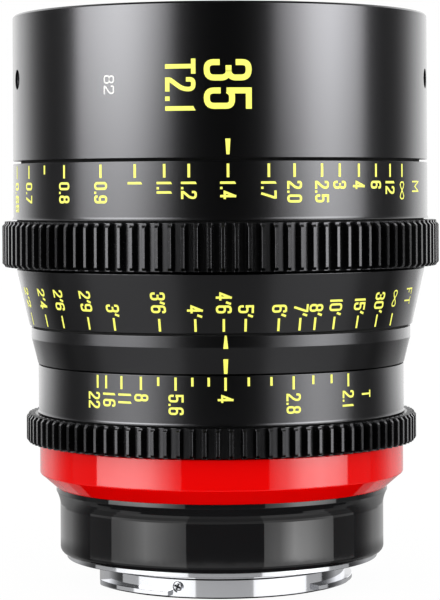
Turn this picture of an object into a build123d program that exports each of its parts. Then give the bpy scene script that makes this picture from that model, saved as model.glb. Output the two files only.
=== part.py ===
from build123d import *
import os
from math import copysign, cos, pi, radians, sin, sqrt

os.makedirs("parts", exist_ok=True)

# Lengths are in millimetres and angles in degrees.
# The optical axis is Z, z = 0 is the rear face of the bayonet, and +Z points to the front glass.
# The index line that the scales are read against faces -Y, and angles are counted from it.
index_angle = -90.0

# Fits
slide_fit = 0.05  # radial clearance of turned pieces that slide or turn in each other
seat_fit = 0.03  # radial clearance of glass, pins and screws in their seats
cement_gap = 0.02  # cement between two glasses
turn_gap = 0.3  # open gap between a ring that turns and its neighbour
cut_over = 1.0  # how far a cutting shape runs past what it cuts
edge_chamfer = 0.3  # broken outer edges

# Joint travel
focus_near = 74.7  # focus ring from rest to its closest mark
focus_far = 55.7  # focus ring from rest to infinity
focus_rise = 2.1  # travel of the optical carriage over the whole turn
iris_open = 40.2  # iris ring from rest to wide open
iris_close = 40.8  # iris ring from rest to the smallest stop
blade_swing = 33.0  # turn of one blade over the whole range
near_rise = focus_rise * focus_near / (focus_near + focus_far)
far_drop = focus_rise - near_rise

# Lengths along the axis, rear to front
neck_length = 5.2
flange_thickness = 1.5
shim_thickness = 0.3
flange_reveal = 0.5  # flange rim seen below the rear barrel
rear_cover_length = 13.9
red_ring_length = 9.0
iris_gear_width = 6.2
iris_ring_length = 15.7
collar_length = 7.4
focus_length = 32.9
front_groove = 0.6
front_barrel_length = 29.6

flange_z = neck_length
shim_z = flange_z + flange_thickness
barrel_z = shim_z + shim_thickness
cover_z = flange_z + flange_reveal
red_z = cover_z + rear_cover_length
land_z = red_z + red_ring_length
iris_z = land_z + turn_gap
iris_top_z = iris_z + iris_ring_length
collar_z = iris_top_z + turn_gap
collar_top_z = collar_z + collar_length
focus_z = collar_top_z + turn_gap
focus_top_z = focus_z + focus_length
front_z = focus_top_z + front_groove
rim_z = front_z + front_barrel_length

# Glass: curves are positive where the centre lies behind the surface
glass_1_thickness = 3.0
glass_1_front_curve = 75.0
glass_1_rear_curve = 34.0
glass_1_rear_clear = 27.0
glass_1_radius = 33.0
glass_2_thickness = 2.0
glass_2_front_curve = 60.0
glass_2_rear_curve = 27.0
glass_2_rear_clear = 20.0
glass_2_radius = 24.0
glass_3_thickness = 7.0
glass_3_front_curve = 45.0
glass_3_rear_curve = -120.0
glass_3_radius = 19.0
glass_4_thickness = 10.5
glass_4_front_curve = 40.0
glass_4_rear_curve = -35.0
glass_4_radius = 18.0
glass_5_thickness = 2.0
glass_5_rear_curve = 150.0
glass_6_thickness = 1.5
glass_6_front_curve = -30.0
glass_6_rear_curve = 40.0
glass_6_radius = 13.0
glass_7_thickness = 7.5
glass_7_rear_curve = -30.0
glass_8_thickness = 5.6
glass_8_front_curve = 90.0
glass_8_rear_curve = -45.0
glass_8_radius = 16.0
glass_9_thickness = 1.5
glass_9_front_curve = -70.0
glass_9_rear_curve = 300.0

front_recess = 11.2  # filter rim to the front of the first glass
gap_1_2 = 10.5
gap_2_3 = 6.0
gap_7_8 = 0.9
gap_8_9 = 1.0

# Radii from the optical carriage outwards
lip_width = 1.2  # ledge that a glass rests on
nose_wall = 2.35
nose_gap = 0.6
carriage_wall = 2.0
main_wall = 2.95
sleeve_wall = 2.55
iris_land_step = 2.4
iris_wall = 3.05
collar_seat_step = 4.5
focus_inner_gap = 2.2

nose_radius = glass_2_radius + seat_fit + nose_wall
carriage_bore = nose_radius + nose_gap
carriage_radius = carriage_bore + carriage_wall
main_bore = carriage_radius + slide_fit
main_radius = main_bore + main_wall
sleeve_bore = main_radius + slide_fit
sleeve_radius = sleeve_bore + sleeve_wall
iris_land_radius = main_radius + iris_land_step
iris_bore = iris_land_radius + slide_fit
iris_body_radius = iris_bore + iris_wall
collar_seat_radius = main_radius + collar_seat_step
focus_inner_radius = sleeve_radius + focus_inner_gap

# Outer radii of the front half
barrel_radius = 42.5
filter_radius = 40.6

# Toothed rings, module 0.8
gear_module = 0.8
addendum = gear_module
dedendum = gear_module * 1.25
focus_gear_stand = 1.5  # pitch circle above the ring's body
iris_gear_stand = 1.7
focus_gear_width = 9.0
focus_gear_rise = 12.0  # rear end of the focus ring to its teeth
tooth_tip_share = 0.42
tooth_root_share = 0.4
tooth_end_chamfer = 0.5
focus_teeth = round(2 * (barrel_radius + focus_gear_stand) / gear_module)
iris_teeth = round(2 * (iris_body_radius + iris_gear_stand) / gear_module)
focus_pitch_radius = focus_teeth * gear_module / 2
iris_pitch_radius = iris_teeth * gear_module / 2


def section(*points):
    with BuildSketch(Plane.XZ) as cut:
        with BuildLine():
            Polyline(*points, close=True)
        make_face()
    return cut.sketch


def half_plane(angle):
    return Plane((0, 0, 0), x_dir=(cos(angle), sin(angle), 0), z_dir=(sin(angle), -cos(angle), 0))


def outward(angle, radius, height):
    turn = radians(index_angle + angle)
    spot = (radius * cos(turn), radius * sin(turn), height)
    return Plane(spot, x_dir=(0, 0, 1), z_dir=(cos(turn), sin(turn), 0))


def sag(curve, height):
    return curve - copysign(sqrt(curve**2 - height**2), curve)


def glass_section(front, thickness, front_curve, rear_curve, radius, rear_clear=None):
    rear = front - thickness
    inner = rear_clear or radius
    front_rim = front - sag(front_curve, radius)
    rear_rim = rear - sag(rear_curve, inner)
    with BuildSketch(Plane.XZ) as cut:
        with BuildLine():
            Line((0, rear), (0, front))
            middle = front - sag(front_curve, radius / 2)
            ThreePointArc((0, front), (radius / 2, middle), (radius, front_rim))
            Line((radius, front_rim), (radius, rear_rim))
            if inner < radius:
                Line((radius, rear_rim), (inner, rear_rim))
            middle = rear - sag(rear_curve, inner / 2)
            ThreePointArc((inner, rear_rim), (inner / 2, middle), (0, rear))
        make_face()
    return cut.sketch


def tooth_ring(teeth, pitch_radius, bottom, inner_radius):
    pitch_angle = 2 * pi / teeth
    tip = pitch_radius + addendum
    root = pitch_radius - dedendum
    tip_half = pitch_angle * tooth_tip_share / 2
    root_half = pitch_angle * (1 - tooth_root_share) / 2
    tooth = ((root, -root_half), (tip, -tip_half), (tip, tip_half), (root, root_half))
    points = []
    for number in range(teeth):
        for radius, offset in tooth:
            turn = number * pitch_angle + offset
            points.append((radius * cos(turn), radius * sin(turn)))
    with BuildSketch(Plane.XY.offset(bottom)) as cut:
        with BuildLine():
            Polyline(*points, close=True)
        make_face()
        Circle(inner_radius, mode=Mode.SUBTRACT)
    return cut.sketch


def sector(profile_plane_angle, arc, *points):
    with BuildSketch(half_plane(radians(index_angle + profile_plane_angle))) as cut:
        with BuildLine():
            Polyline(*points, close=True)
        make_face()
    return revolve(cut.sketch, axis=Axis.Z, revolution_arc=arc, mode=Mode.PRIVATE)


def rear_places(ring, height, count, start):
    places = []
    for number in range(count):
        turn = radians(index_angle + start + 360 * number / count)
        spot = (ring * cos(turn), ring * sin(turn), height)
        places.append(Plane(spot, z_dir=(0, 0, 1)))
    return places


def front_places(ring, height, count, start):
    places = []
    for plane in rear_places(ring, height, count, start):
        places.append(Plane(plane.origin, z_dir=(0, 0, -1)))
    return places


def screws(places, head, shank, length, grow=0.0, mode=Mode.ADD):
    base = (Align.CENTER, Align.CENTER, Align.MIN)
    with Locations(*places):
        Cone(head + grow, shank + grow, head - shank, align=base, mode=mode)
        Cylinder(shank + grow, length + grow, align=base, mode=mode)


def pegs(places, radius, length, mode=Mode.ADD):
    base = (Align.CENTER, Align.CENTER, Align.MIN)
    with Locations(*places):
        Cylinder(radius, length, align=base, mode=mode)


# Bayonet mount, with three lugs so spaced that it goes in only one way
throat_radius = 23.0
neck_radius = 25.2
step_radius = 25.7
step_z = 3.7
datum_inner_radius = 27.1
datum_relief = 0.3
flange_radius = 31.8
lug_radius = 26.7
lug_z = 0.4
lug_thickness = 1.1
lug_chamfer = 0.25
lug_starts = (-86.0, 44.0, 159.0)
lug_span = 60.0
rear_bore_step = 1.55
rear_bore_depth = 13.0
pilot_wall = 1.6
pilot_depth = 2.0
lock_hole_radius = 1.2
lock_hole_depth = 1.0
lock_hole_angle = 10.0
mount_screw_count = 6
mount_screw_start = 30.0
mount_screw_radius = 1.0
mount_screw_head = 1.85
mount_screw_length = 6.5
screw_sink = 0.1
rear_bore = main_bore - rear_bore_step
pilot_radius = rear_bore - slide_fit
mount_screw_ring = (rear_bore + flange_radius) / 2
mount_places = rear_places(mount_screw_ring, flange_z + screw_sink, mount_screw_count, mount_screw_start)
mount_screw = (mount_screw_head, mount_screw_radius, mount_screw_length)

baffle_z = 0.6
baffle_plate = 0.8
baffle_depth = 3.6
baffle_wall = 1.6
window_width = 34.0
window_height = 25.0
baffle_screw_z = 2.2
baffle_screw_past = 4.3  # angle past the end of a lug
baffle_screw_head = 0.95
baffle_screw_radius = 0.55
baffle_head_depth = 0.7
baffle_screw_bite = 0.2  # left between the screw's end and the inner wall
baffle_radius = throat_radius - slide_fit
baffle_angles = [start + lug_span + baffle_screw_past for start in lug_starts]

with BuildPart() as bayonet_mount:
    revolve(
        section(
            (throat_radius, 0),
            (neck_radius - lug_chamfer, 0),
            (neck_radius, lug_chamfer),
            (neck_radius, step_z),
            (step_radius, step_z + lug_chamfer),
            (step_radius, flange_z + datum_relief),
            (datum_inner_radius, flange_z + datum_relief),
            (datum_inner_radius, flange_z),
            (flange_radius, flange_z),
            (flange_radius, shim_z),
            (pilot_radius, shim_z),
            (pilot_radius, shim_z + pilot_depth),
            (pilot_radius - pilot_wall, shim_z + pilot_depth),
            (throat_radius, shim_z - datum_relief),
        ),
        axis=Axis.Z,
    )
    for start in lug_starts:
        add(
            sector(
                start,
                lug_span,
                (neck_radius - lug_chamfer, lug_z),
                (lug_radius - lug_chamfer, lug_z),
                (lug_radius, lug_z + lug_chamfer),
                (lug_radius, lug_z + lug_thickness),
                (neck_radius - lug_chamfer, lug_z + lug_thickness),
            )
        )
    screws(mount_places, *mount_screw, seat_fit, Mode.SUBTRACT)
    pegs(
        rear_places((datum_inner_radius + flange_radius) / 2, flange_z, 1, lock_hole_angle),
        lock_hole_radius,
        lock_hole_depth,
        Mode.SUBTRACT,
    )
    for angle in baffle_angles:
        seat = outward(angle, neck_radius - baffle_head_depth - seat_fit, baffle_screw_z)
        pegs([seat], baffle_screw_head + seat_fit, baffle_head_depth + cut_over, Mode.SUBTRACT)
        hole = outward(angle, throat_radius - cut_over, baffle_screw_z)
        pegs([hole], baffle_screw_radius + seat_fit, neck_radius - throat_radius + cut_over, Mode.SUBTRACT)
bayonet_mount.part.label = "bayonet_mount"
export_step(bayonet_mount.part, "parts/bayonet_mount.step")

with BuildPart() as mount_shim:
    with BuildSketch(Plane.XY.offset(shim_z)):
        Circle(flange_radius)
        Circle(rear_bore, mode=Mode.SUBTRACT)
    extrude(amount=shim_thickness)
    screws(mount_places, *mount_screw, seat_fit, Mode.SUBTRACT)
mount_shim.part.label = "mount_shim"
export_step(mount_shim.part, "parts/mount_shim.step")

with BuildPart() as mount_screws:
    screws(mount_places, *mount_screw)
mount_screws.part.label = "mount_screws"
export_step(mount_screws.part, "parts/mount_screws.step")

# Rear light baffle with a picture-shaped window, a cup inside the bayonet's throat
with BuildPart() as rear_baffle:
    revolve(
        section(
            (0, baffle_z),
            (baffle_radius, baffle_z),
            (baffle_radius, baffle_z + baffle_depth),
            (baffle_radius - baffle_wall, baffle_z + baffle_depth),
            (baffle_radius - baffle_wall, baffle_z + baffle_plate),
            (0, baffle_z + baffle_plate),
        ),
        axis=Axis.Z,
    )
    with BuildSketch(Plane.XY.offset(baffle_z)):
        Rectangle(window_width, window_height)
    extrude(amount=baffle_plate, mode=Mode.SUBTRACT)
    for angle in baffle_angles:
        hole = outward(angle, baffle_radius - baffle_wall + baffle_screw_bite, baffle_screw_z)
        pegs([hole], baffle_screw_radius + seat_fit, baffle_wall + cut_over, Mode.SUBTRACT)
rear_baffle.part.label = "rear_baffle"
export_step(rear_baffle.part, "parts/rear_baffle.step")

with BuildPart() as baffle_screws:
    for angle in baffle_angles:
        foot = baffle_radius - baffle_wall + baffle_screw_bite + seat_fit
        seat = neck_radius - baffle_head_depth
        pegs([outward(angle, foot, baffle_screw_z)], baffle_screw_radius, seat - foot)
        pegs([outward(angle, seat, baffle_screw_z)], baffle_screw_head, baffle_head_depth - screw_sink)
baffle_screws.part.label = "baffle_screws"
export_step(baffle_screws.part, "parts/baffle_screws.step")

# Main barrel: the tube that everything else is built on
rear_lip = 2.0  # lip of the rear barrel held between mount and main barrel
lip_step = 0.75
collar_flange = 1.8
cell_seat_reveal = 0.1
collar_screw_count = 4
collar_screw_start = 45.0
collar_screw_radius = 0.8
collar_screw_head = 1.5
collar_screw_length = 5.0
cell_screw_count = 6
cell_screw_start = 0.0
cell_screw_radius = 0.8
cell_screw_head = 1.5
cell_screw_length = 6.0
rear_seat_z = barrel_z + rear_lip
lip_radius = main_radius - lip_step
rear_bore_z = barrel_z + rear_bore_depth
collar_seat_z = collar_top_z - collar_flange
cell_seat_z = front_z - cell_seat_reveal
collar_screw_ring = (main_radius + collar_seat_radius) / 2
cell_screw_ring = (main_bore + main_radius) / 2
collar_screw = (collar_screw_head, collar_screw_radius, collar_screw_length)
collar_head_z = collar_top_z - screw_sink
collar_places = front_places(collar_screw_ring, collar_head_z, collar_screw_count, collar_screw_start)

# Iris drive: a pin through the main barrel and the carriage
iris_pin_rise = 11.1  # rear end of the iris ring to the pin
iris_pin_radius = 1.0
iris_pin_gap = 0.35
iris_slot_margin = 4.0
back_angle = 180.0
iris_pin_z = iris_z + iris_pin_rise
iris_slot_half = iris_pin_radius + iris_pin_gap
iris_slot_start = back_angle - iris_open - iris_slot_margin
iris_slot_arc = iris_open + iris_close + 2 * iris_slot_margin

# Cam rollers: two, on opposite sides
thrust_thickness = 0.55
sleeve_flange_thickness = 2.0
sleeve_flange_recess = 1.5
sleeve_flange_step = 3.4
roller_radius = 2.0
roller_bore = 1.05
roller_slot_gap = 0.25
roller_angles = (90.0, 270.0)
sleeve_z = collar_top_z + thrust_thickness + slide_fit
sleeve_top_z = focus_top_z - sleeve_flange_recess
sleeve_flange_z = sleeve_top_z - sleeve_flange_thickness
sleeve_flange_radius = sleeve_radius + sleeve_flange_step
roller_z = (sleeve_z + sleeve_flange_z) / 2
roller_slot_width = 2 * (roller_radius + seat_fit)
roller_slot_low = roller_z - far_drop - roller_radius - roller_slot_gap
roller_slot_high = roller_z + near_rise + roller_radius + roller_slot_gap

with BuildPart() as main_barrel:
    revolve(
        section(
            (rear_bore, barrel_z),
            (lip_radius, barrel_z),
            (lip_radius, rear_seat_z),
            (main_radius, rear_seat_z),
            (main_radius, land_z),
            (iris_land_radius, land_z),
            (iris_land_radius, collar_z),
            (collar_seat_radius, collar_z),
            (collar_seat_radius, collar_seat_z),
            (main_radius, collar_seat_z),
            (main_radius, cell_seat_z),
            (main_bore, cell_seat_z),
            (main_bore, rear_bore_z),
            (rear_bore, rear_bore_z),
        ),
        axis=Axis.Z,
    )
    add(
        sector(
            iris_slot_start,
            iris_slot_arc,
            (main_bore - cut_over, iris_pin_z - iris_slot_half),
            (iris_land_radius + cut_over, iris_pin_z - iris_slot_half),
            (iris_land_radius + cut_over, iris_pin_z + iris_slot_half),
            (main_bore - cut_over, iris_pin_z + iris_slot_half),
        ),
        mode=Mode.SUBTRACT,
    )
    for angle in roller_angles:
        middle = (roller_slot_low + roller_slot_high) / 2
        with BuildSketch(outward(angle, main_bore - cut_over, middle)):
            SlotOverall(roller_slot_high - roller_slot_low, roller_slot_width)
        extrude(amount=main_wall + 2 * cut_over, mode=Mode.SUBTRACT)
    screws(mount_places, *mount_screw, seat_fit, Mode.SUBTRACT)
    screws(collar_places, *collar_screw, seat_fit, Mode.SUBTRACT)
    pegs(
        front_places(cell_screw_ring, cell_seat_z, cell_screw_count, cell_screw_start),
        cell_screw_radius + seat_fit,
        cell_screw_length,
        Mode.SUBTRACT,
    )
main_barrel.part.label = "main_barrel"
export_step(main_barrel.part, "parts/main_barrel.step")

# Rear barrel: a glossy cover round the mount end, with a flared front lip
rear_cover_radius = 33.2
rear_cover_round = 1.25
rear_cover_flare = 0.95
rear_cover_flare_length = 3.3
flange_gap = 0.15
cover_bore = main_radius + slide_fit
flare_z = red_z - rear_cover_flare_length
flare_bow_share = 0.3
with BuildPart() as rear_barrel:
    with BuildSketch(Plane.XZ):
        with BuildLine():
            Line((flange_radius + flange_gap, cover_z), (rear_cover_radius - rear_cover_round, cover_z))
            RadiusArc(
                (rear_cover_radius - rear_cover_round, cover_z),
                (rear_cover_radius, cover_z + rear_cover_round),
                -rear_cover_round,
            )
            Line((rear_cover_radius, cover_z + rear_cover_round), (rear_cover_radius, flare_z))
            ThreePointArc(
                (rear_cover_radius, flare_z),
                (rear_cover_radius + rear_cover_flare * flare_bow_share, (flare_z + red_z) / 2),
                (rear_cover_radius + rear_cover_flare, red_z),
            )
            Polyline(
                (rear_cover_radius + rear_cover_flare, red_z),
                (cover_bore, red_z),
                (cover_bore, rear_seat_z),
                (lip_radius + slide_fit, rear_seat_z),
                (lip_radius + slide_fit, barrel_z),
                (flange_radius + flange_gap, barrel_z),
                (flange_radius + flange_gap, cover_z),
            )
        make_face()
    revolve(axis=Axis.Z)
rear_barrel.part.label = "rear_barrel"
export_step(rear_barrel.part, "parts/rear_barrel.step")

# Anodised colour ring with a steep rear chamfer
red_ring_drop = 0.25  # below the iris ring's body
red_chamfer_length = 2.9
red_chamfer_depth = 3.25
red_ring_radius = iris_body_radius - red_ring_drop
with BuildPart() as red_ring:
    revolve(
        section(
            (cover_bore, red_z),
            (red_ring_radius - red_chamfer_depth, red_z),
            (red_ring_radius, red_z + red_chamfer_length),
            (red_ring_radius, land_z - edge_chamfer),
            (red_ring_radius - edge_chamfer, land_z),
            (cover_bore, land_z),
        ),
        axis=Axis.Z,
    )
red_ring.part.label = "red_ring"
export_step(red_ring.part, "parts/red_ring.step")

# Iris ring: teeth at the rear, scale cylinder in front of them
iris_flange = 0.5
iris_relief = 0.45
iris_relief_start = 3.0
iris_pin_sink = 0.3
iris_gear_top_z = iris_z + iris_gear_width
iris_root_radius = iris_pitch_radius - dedendum
iris_tip_radius = iris_pitch_radius + addendum


def tooth_end_cut(tip, end, way):
    near = tip - tooth_end_chamfer - cut_over
    far = tip + cut_over
    return section(
        (near, end - way * cut_over),
        (far, end - way * cut_over),
        (far, end + way * (tooth_end_chamfer + cut_over)),
    )


with BuildPart() as iris_ring:
    revolve(
        section(
            (iris_bore, iris_z),
            (iris_root_radius, iris_z),
            (iris_root_radius, iris_gear_top_z),
            (iris_body_radius, iris_gear_top_z + iris_flange),
            (iris_body_radius, iris_top_z - edge_chamfer),
            (iris_body_radius - edge_chamfer, iris_top_z),
            (iris_bore, iris_top_z),
            (iris_bore, iris_top_z - iris_relief_start),
            (iris_bore + iris_relief, iris_top_z - iris_relief_start),
            (iris_bore + iris_relief, iris_z + iris_relief_start),
            (iris_bore, iris_z + iris_relief_start),
        ),
        axis=Axis.Z,
    )
    extrude(tooth_ring(iris_teeth, iris_pitch_radius, iris_z, iris_root_radius - cut_over), iris_gear_width)
    revolve(tooth_end_cut(iris_tip_radius, iris_z, 1), axis=Axis.Z, mode=Mode.SUBTRACT)
    revolve(tooth_end_cut(iris_tip_radius, iris_gear_top_z, -1), axis=Axis.Z, mode=Mode.SUBTRACT)
    pegs(
        [outward(back_angle, iris_bore, iris_pin_z)],
        iris_pin_radius + seat_fit,
        iris_wall + cut_over,
        Mode.SUBTRACT,
    )
iris_ring.part.label = "iris_ring"
export_step(iris_ring.part, "parts/iris_ring.step")

# Index collar between the two turning rings
collar_foot_step = 0.1
collar_band_step = 1.4
collar_band_length = 2.3
collar_foot_radius = iris_body_radius + collar_foot_step
collar_band_radius = iris_body_radius + collar_band_step
with BuildPart() as index_collar:
    revolve(
        section(
            (collar_seat_radius + slide_fit, collar_z),
            (collar_foot_radius, collar_z),
            (collar_band_radius, collar_top_z - collar_band_length),
            (collar_band_radius, collar_top_z),
            (cover_bore, collar_top_z),
            (cover_bore, collar_seat_z),
            (collar_seat_radius + slide_fit, collar_seat_z),
        ),
        axis=Axis.Z,
    )
    screws(collar_places, *collar_screw, seat_fit, Mode.SUBTRACT)
index_collar.part.label = "index_collar"
export_step(index_collar.part, "parts/index_collar.step")

with BuildPart() as collar_screws:
    screws(collar_places, *collar_screw)
collar_screws.part.label = "collar_screws"
export_step(collar_screws.part, "parts/collar_screws.step")

# Thrust washers at both ends of the cam sleeve
thrust_width = 3.9
thrust_radius = sleeve_bore + thrust_width
with BuildPart() as rear_thrust_washer:
    with BuildSketch(Plane.XY.offset(collar_top_z)):
        Circle(thrust_radius)
        Circle(sleeve_bore, mode=Mode.SUBTRACT)
    extrude(amount=thrust_thickness)
rear_thrust_washer.part.label = "rear_thrust_washer"
export_step(rear_thrust_washer.part, "parts/rear_thrust_washer.step")

with BuildPart() as front_thrust_washer:
    with BuildSketch(Plane.XY.offset(sleeve_top_z + slide_fit)):
        Circle(thrust_radius)
        Circle(sleeve_bore, mode=Mode.SUBTRACT)
    extrude(amount=thrust_thickness)
front_thrust_washer.part.label = "front_thrust_washer"
export_step(front_thrust_washer.part, "parts/front_thrust_washer.step")

# Cam sleeve: its two shallow helical slots push the rollers along the axis
slot_end_margin = 1.5
sleeve_screw_count = 6
sleeve_screw_radius = 0.8
sleeve_screw_head = 1.4
sleeve_screw_length = 4.5
cam_turn = focus_near + focus_far + 2 * slot_end_margin
cam_pitch = focus_rise * 360 / (focus_near + focus_far)
cam_height = cam_pitch * cam_turn / 360
cam_track_radius = (sleeve_bore + sleeve_radius) / 2
cam_low_z = roller_z - far_drop - cam_pitch * slot_end_margin / 360
sleeve_screw_ring = (sleeve_radius + sleeve_flange_radius) / 2
sleeve_screw = (sleeve_screw_head, sleeve_screw_radius, sleeve_screw_length)
sleeve_places = front_places(sleeve_screw_ring, sleeve_top_z - screw_sink, sleeve_screw_count, 0)

with BuildPart() as cam_cut:
    with BuildLine() as cam_track:
        Helix(cam_pitch, cam_height, cam_track_radius, center=(0, 0, cam_low_z), lefthand=True)
    with BuildSketch(Plane(cam_track.line @ 0, x_dir=(1, 0, 0), z_dir=cam_track.line % 0)):
        Rectangle(sleeve_wall + 2 * cut_over, roller_slot_width)
    sweep(path=cam_track.line, is_frenet=True)

with BuildPart() as cam_sleeve:
    revolve(
        section(
            (sleeve_bore, sleeve_z),
            (sleeve_radius, sleeve_z),
            (sleeve_radius, sleeve_flange_z),
            (sleeve_flange_radius, sleeve_flange_z),
            (sleeve_flange_radius, sleeve_top_z),
            (sleeve_bore, sleeve_top_z),
        ),
        axis=Axis.Z,
    )
    for angle in roller_angles:
        low_end = angle + focus_far + slot_end_margin
        add(cam_cut.part.rotate(Axis.Z, index_angle + low_end), mode=Mode.SUBTRACT)
        for end, height in ((low_end, cam_low_z), (low_end - cam_turn, cam_low_z + cam_height)):
            seat = outward(end, sleeve_bore - cut_over, height)
            pegs([seat], roller_slot_width / 2, sleeve_wall + 2 * cut_over, Mode.SUBTRACT)
    screws(sleeve_places, *sleeve_screw, seat_fit, Mode.SUBTRACT)
cam_sleeve.part.label = "cam_sleeve"
export_step(cam_sleeve.part, "parts/cam_sleeve.step")

with BuildPart() as cam_sleeve_screws:
    screws(sleeve_places, *sleeve_screw)
cam_sleeve_screws.part.label = "cam_sleeve_screws"
export_step(cam_sleeve_screws.part, "parts/cam_sleeve_screws.step")

# Focus ring
focus_foot_step = 0.35
focus_taper_length = 11.0
focus_taper_drop = 0.74  # top of the taper below the barrel
focus_shoulder = 0.9
focus_seat_thickness = 3.5
focus_land_start = 1.4
focus_land_length = 3.0
focus_foot_radius = collar_band_radius + focus_foot_step
focus_gear_z = focus_z + focus_gear_rise
focus_gear_top_z = focus_gear_z + focus_gear_width
focus_root_radius = focus_pitch_radius - dedendum
focus_tip_radius = focus_pitch_radius + addendum
focus_land_z = focus_z + focus_land_start
focus_seat_z = sleeve_flange_z - focus_seat_thickness
with BuildPart() as focus_ring:
    revolve(
        section(
            (focus_inner_radius, focus_z),
            (focus_foot_radius, focus_z),
            (barrel_radius - focus_taper_drop, focus_z + focus_taper_length),
            (focus_root_radius, focus_gear_z),
            (focus_root_radius, focus_gear_top_z),
            (barrel_radius, focus_gear_top_z + focus_shoulder),
            (barrel_radius, focus_top_z - edge_chamfer),
            (barrel_radius - edge_chamfer, focus_top_z),
            (sleeve_flange_radius + slide_fit, focus_top_z),
            (sleeve_flange_radius + slide_fit, sleeve_flange_z),
            (sleeve_radius + slide_fit, sleeve_flange_z),
            (sleeve_radius + slide_fit, focus_seat_z),
            (focus_inner_radius, focus_seat_z),
            (focus_inner_radius, focus_land_z + focus_land_length),
            (sleeve_radius + slide_fit, focus_land_z + focus_land_length),
            (sleeve_radius + slide_fit, focus_land_z),
            (focus_inner_radius, focus_land_z),
        ),
        axis=Axis.Z,
    )
    gear_core = focus_root_radius - cut_over
    extrude(tooth_ring(focus_teeth, focus_pitch_radius, focus_gear_z, gear_core), focus_gear_width)
    revolve(tooth_end_cut(focus_tip_radius, focus_gear_z, 1), axis=Axis.Z, mode=Mode.SUBTRACT)
    revolve(tooth_end_cut(focus_tip_radius, focus_gear_top_z, -1), axis=Axis.Z, mode=Mode.SUBTRACT)
    screws(sleeve_places, *sleeve_screw, seat_fit, Mode.SUBTRACT)
focus_ring.part.label = "focus_ring"
export_step(focus_ring.part, "parts/focus_ring.step")

# Places of the glass, from the filter rim backwards
nose_lip = 1.0
glass_1_z = rim_z - front_recess
glass_1_rear_z = glass_1_z - glass_1_thickness
glass_1_seat_z = glass_1_rear_z - sag(glass_1_rear_curve, glass_1_rear_clear)
glass_2_z = glass_1_rear_z - gap_1_2
glass_2_rear_z = glass_2_z - glass_2_thickness
glass_2_seat_z = glass_2_rear_z - sag(glass_2_rear_curve, glass_2_rear_clear)
glass_3_z = glass_2_rear_z - gap_2_3
glass_3_lip = glass_3_radius - lip_width
glass_3_seat_z = glass_3_z - glass_3_thickness - sag(glass_3_rear_curve, glass_3_lip)
nose_z = glass_3_seat_z - nose_lip

with BuildPart() as lens_element_1:
    revolve(
        glass_section(
            glass_1_z,
            glass_1_thickness,
            glass_1_front_curve,
            glass_1_rear_curve,
            glass_1_radius,
            glass_1_rear_clear,
        ),
        axis=Axis.Z,
    )
lens_element_1.part.label = "lens_element_1"
export_step(lens_element_1.part, "parts/lens_element_1.step")

with BuildPart() as lens_element_2:
    revolve(
        glass_section(
            glass_2_z,
            glass_2_thickness,
            glass_2_front_curve,
            glass_2_rear_curve,
            glass_2_radius,
            glass_2_rear_clear,
        ),
        axis=Axis.Z,
    )
lens_element_2.part.label = "lens_element_2"
export_step(lens_element_2.part, "parts/lens_element_2.step")

with BuildPart() as lens_element_3:
    revolve(
        glass_section(glass_3_z, glass_3_thickness, glass_3_front_curve, glass_3_rear_curve, glass_3_radius),
        axis=Axis.Z,
    )
lens_element_3.part.label = "lens_element_3"
export_step(lens_element_3.part, "parts/lens_element_3.step")

# Spacers keep the air gaps of the front glasses
spacer_overlap = 1.4
spacer_reach = 1.6  # how far the front spacer runs under the flat rim of the first glass
spacer_12_inner = glass_2_radius - spacer_overlap
spacer_12_outer = glass_1_rear_clear + spacer_reach
spacer_12_z = glass_2_z - sag(glass_2_front_curve, spacer_12_inner)
with BuildPart() as front_spacer:
    with BuildSketch(Plane.XY.offset(spacer_12_z)):
        Circle(spacer_12_outer)
        Circle(spacer_12_inner, mode=Mode.SUBTRACT)
    extrude(amount=glass_1_seat_z - spacer_12_z)
front_spacer.part.label = "front_spacer"
export_step(front_spacer.part, "parts/front_spacer.step")

spacer_23_lap = 0.4
spacer_23_inner = glass_3_radius - spacer_23_lap
spacer_23_z = glass_3_z - sag(glass_3_front_curve, spacer_23_inner)
with BuildPart() as second_spacer:
    with BuildSketch(Plane.XY.offset(spacer_23_z)):
        Circle(glass_2_radius)
        Circle(spacer_23_inner, mode=Mode.SUBTRACT)
    extrude(amount=glass_2_seat_z - spacer_23_z)
second_spacer.part.label = "second_spacer"
export_step(second_spacer.part, "parts/second_spacer.step")

# Front cell: carries the fixed glasses and closes the main barrel
cell_drop = 0.8  # shoulder at the bottom of the filter thread
cell_top_recess = 9.7  # filter rim to the cell's front face
cell_shoulder = 1.9
cell_cone_radius = 35.0
cell_cone_depth = 5.5
pilot_length = 2.0
skirt_gap = 0.4
cell_radius = filter_radius - cell_drop
cell_top_z = rim_z - cell_top_recess
cell_shoulder_z = front_z + cell_shoulder
cell_cone_z = cell_top_z - cell_cone_depth
skirt_radius = thrust_radius + skirt_gap
skirt_z = sleeve_top_z + slide_fit + thrust_thickness
cell_pilot_radius = main_bore - slide_fit
cell_screw = (cell_screw_head, cell_screw_radius, cell_screw_length)
cell_places = front_places(cell_screw_ring, glass_1_seat_z - screw_sink, cell_screw_count, cell_screw_start)
barrel_screw_rise = 16.3
barrel_screw_radius = 1.95
barrel_screw_depth = 3.4
barrel_screw_sink = 0.6
barrel_screw_angles = (-75.5, 75.5, 180.0)
barrel_screw_z = front_z + barrel_screw_rise
barrel_screw_foot = cell_radius - barrel_screw_depth
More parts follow.
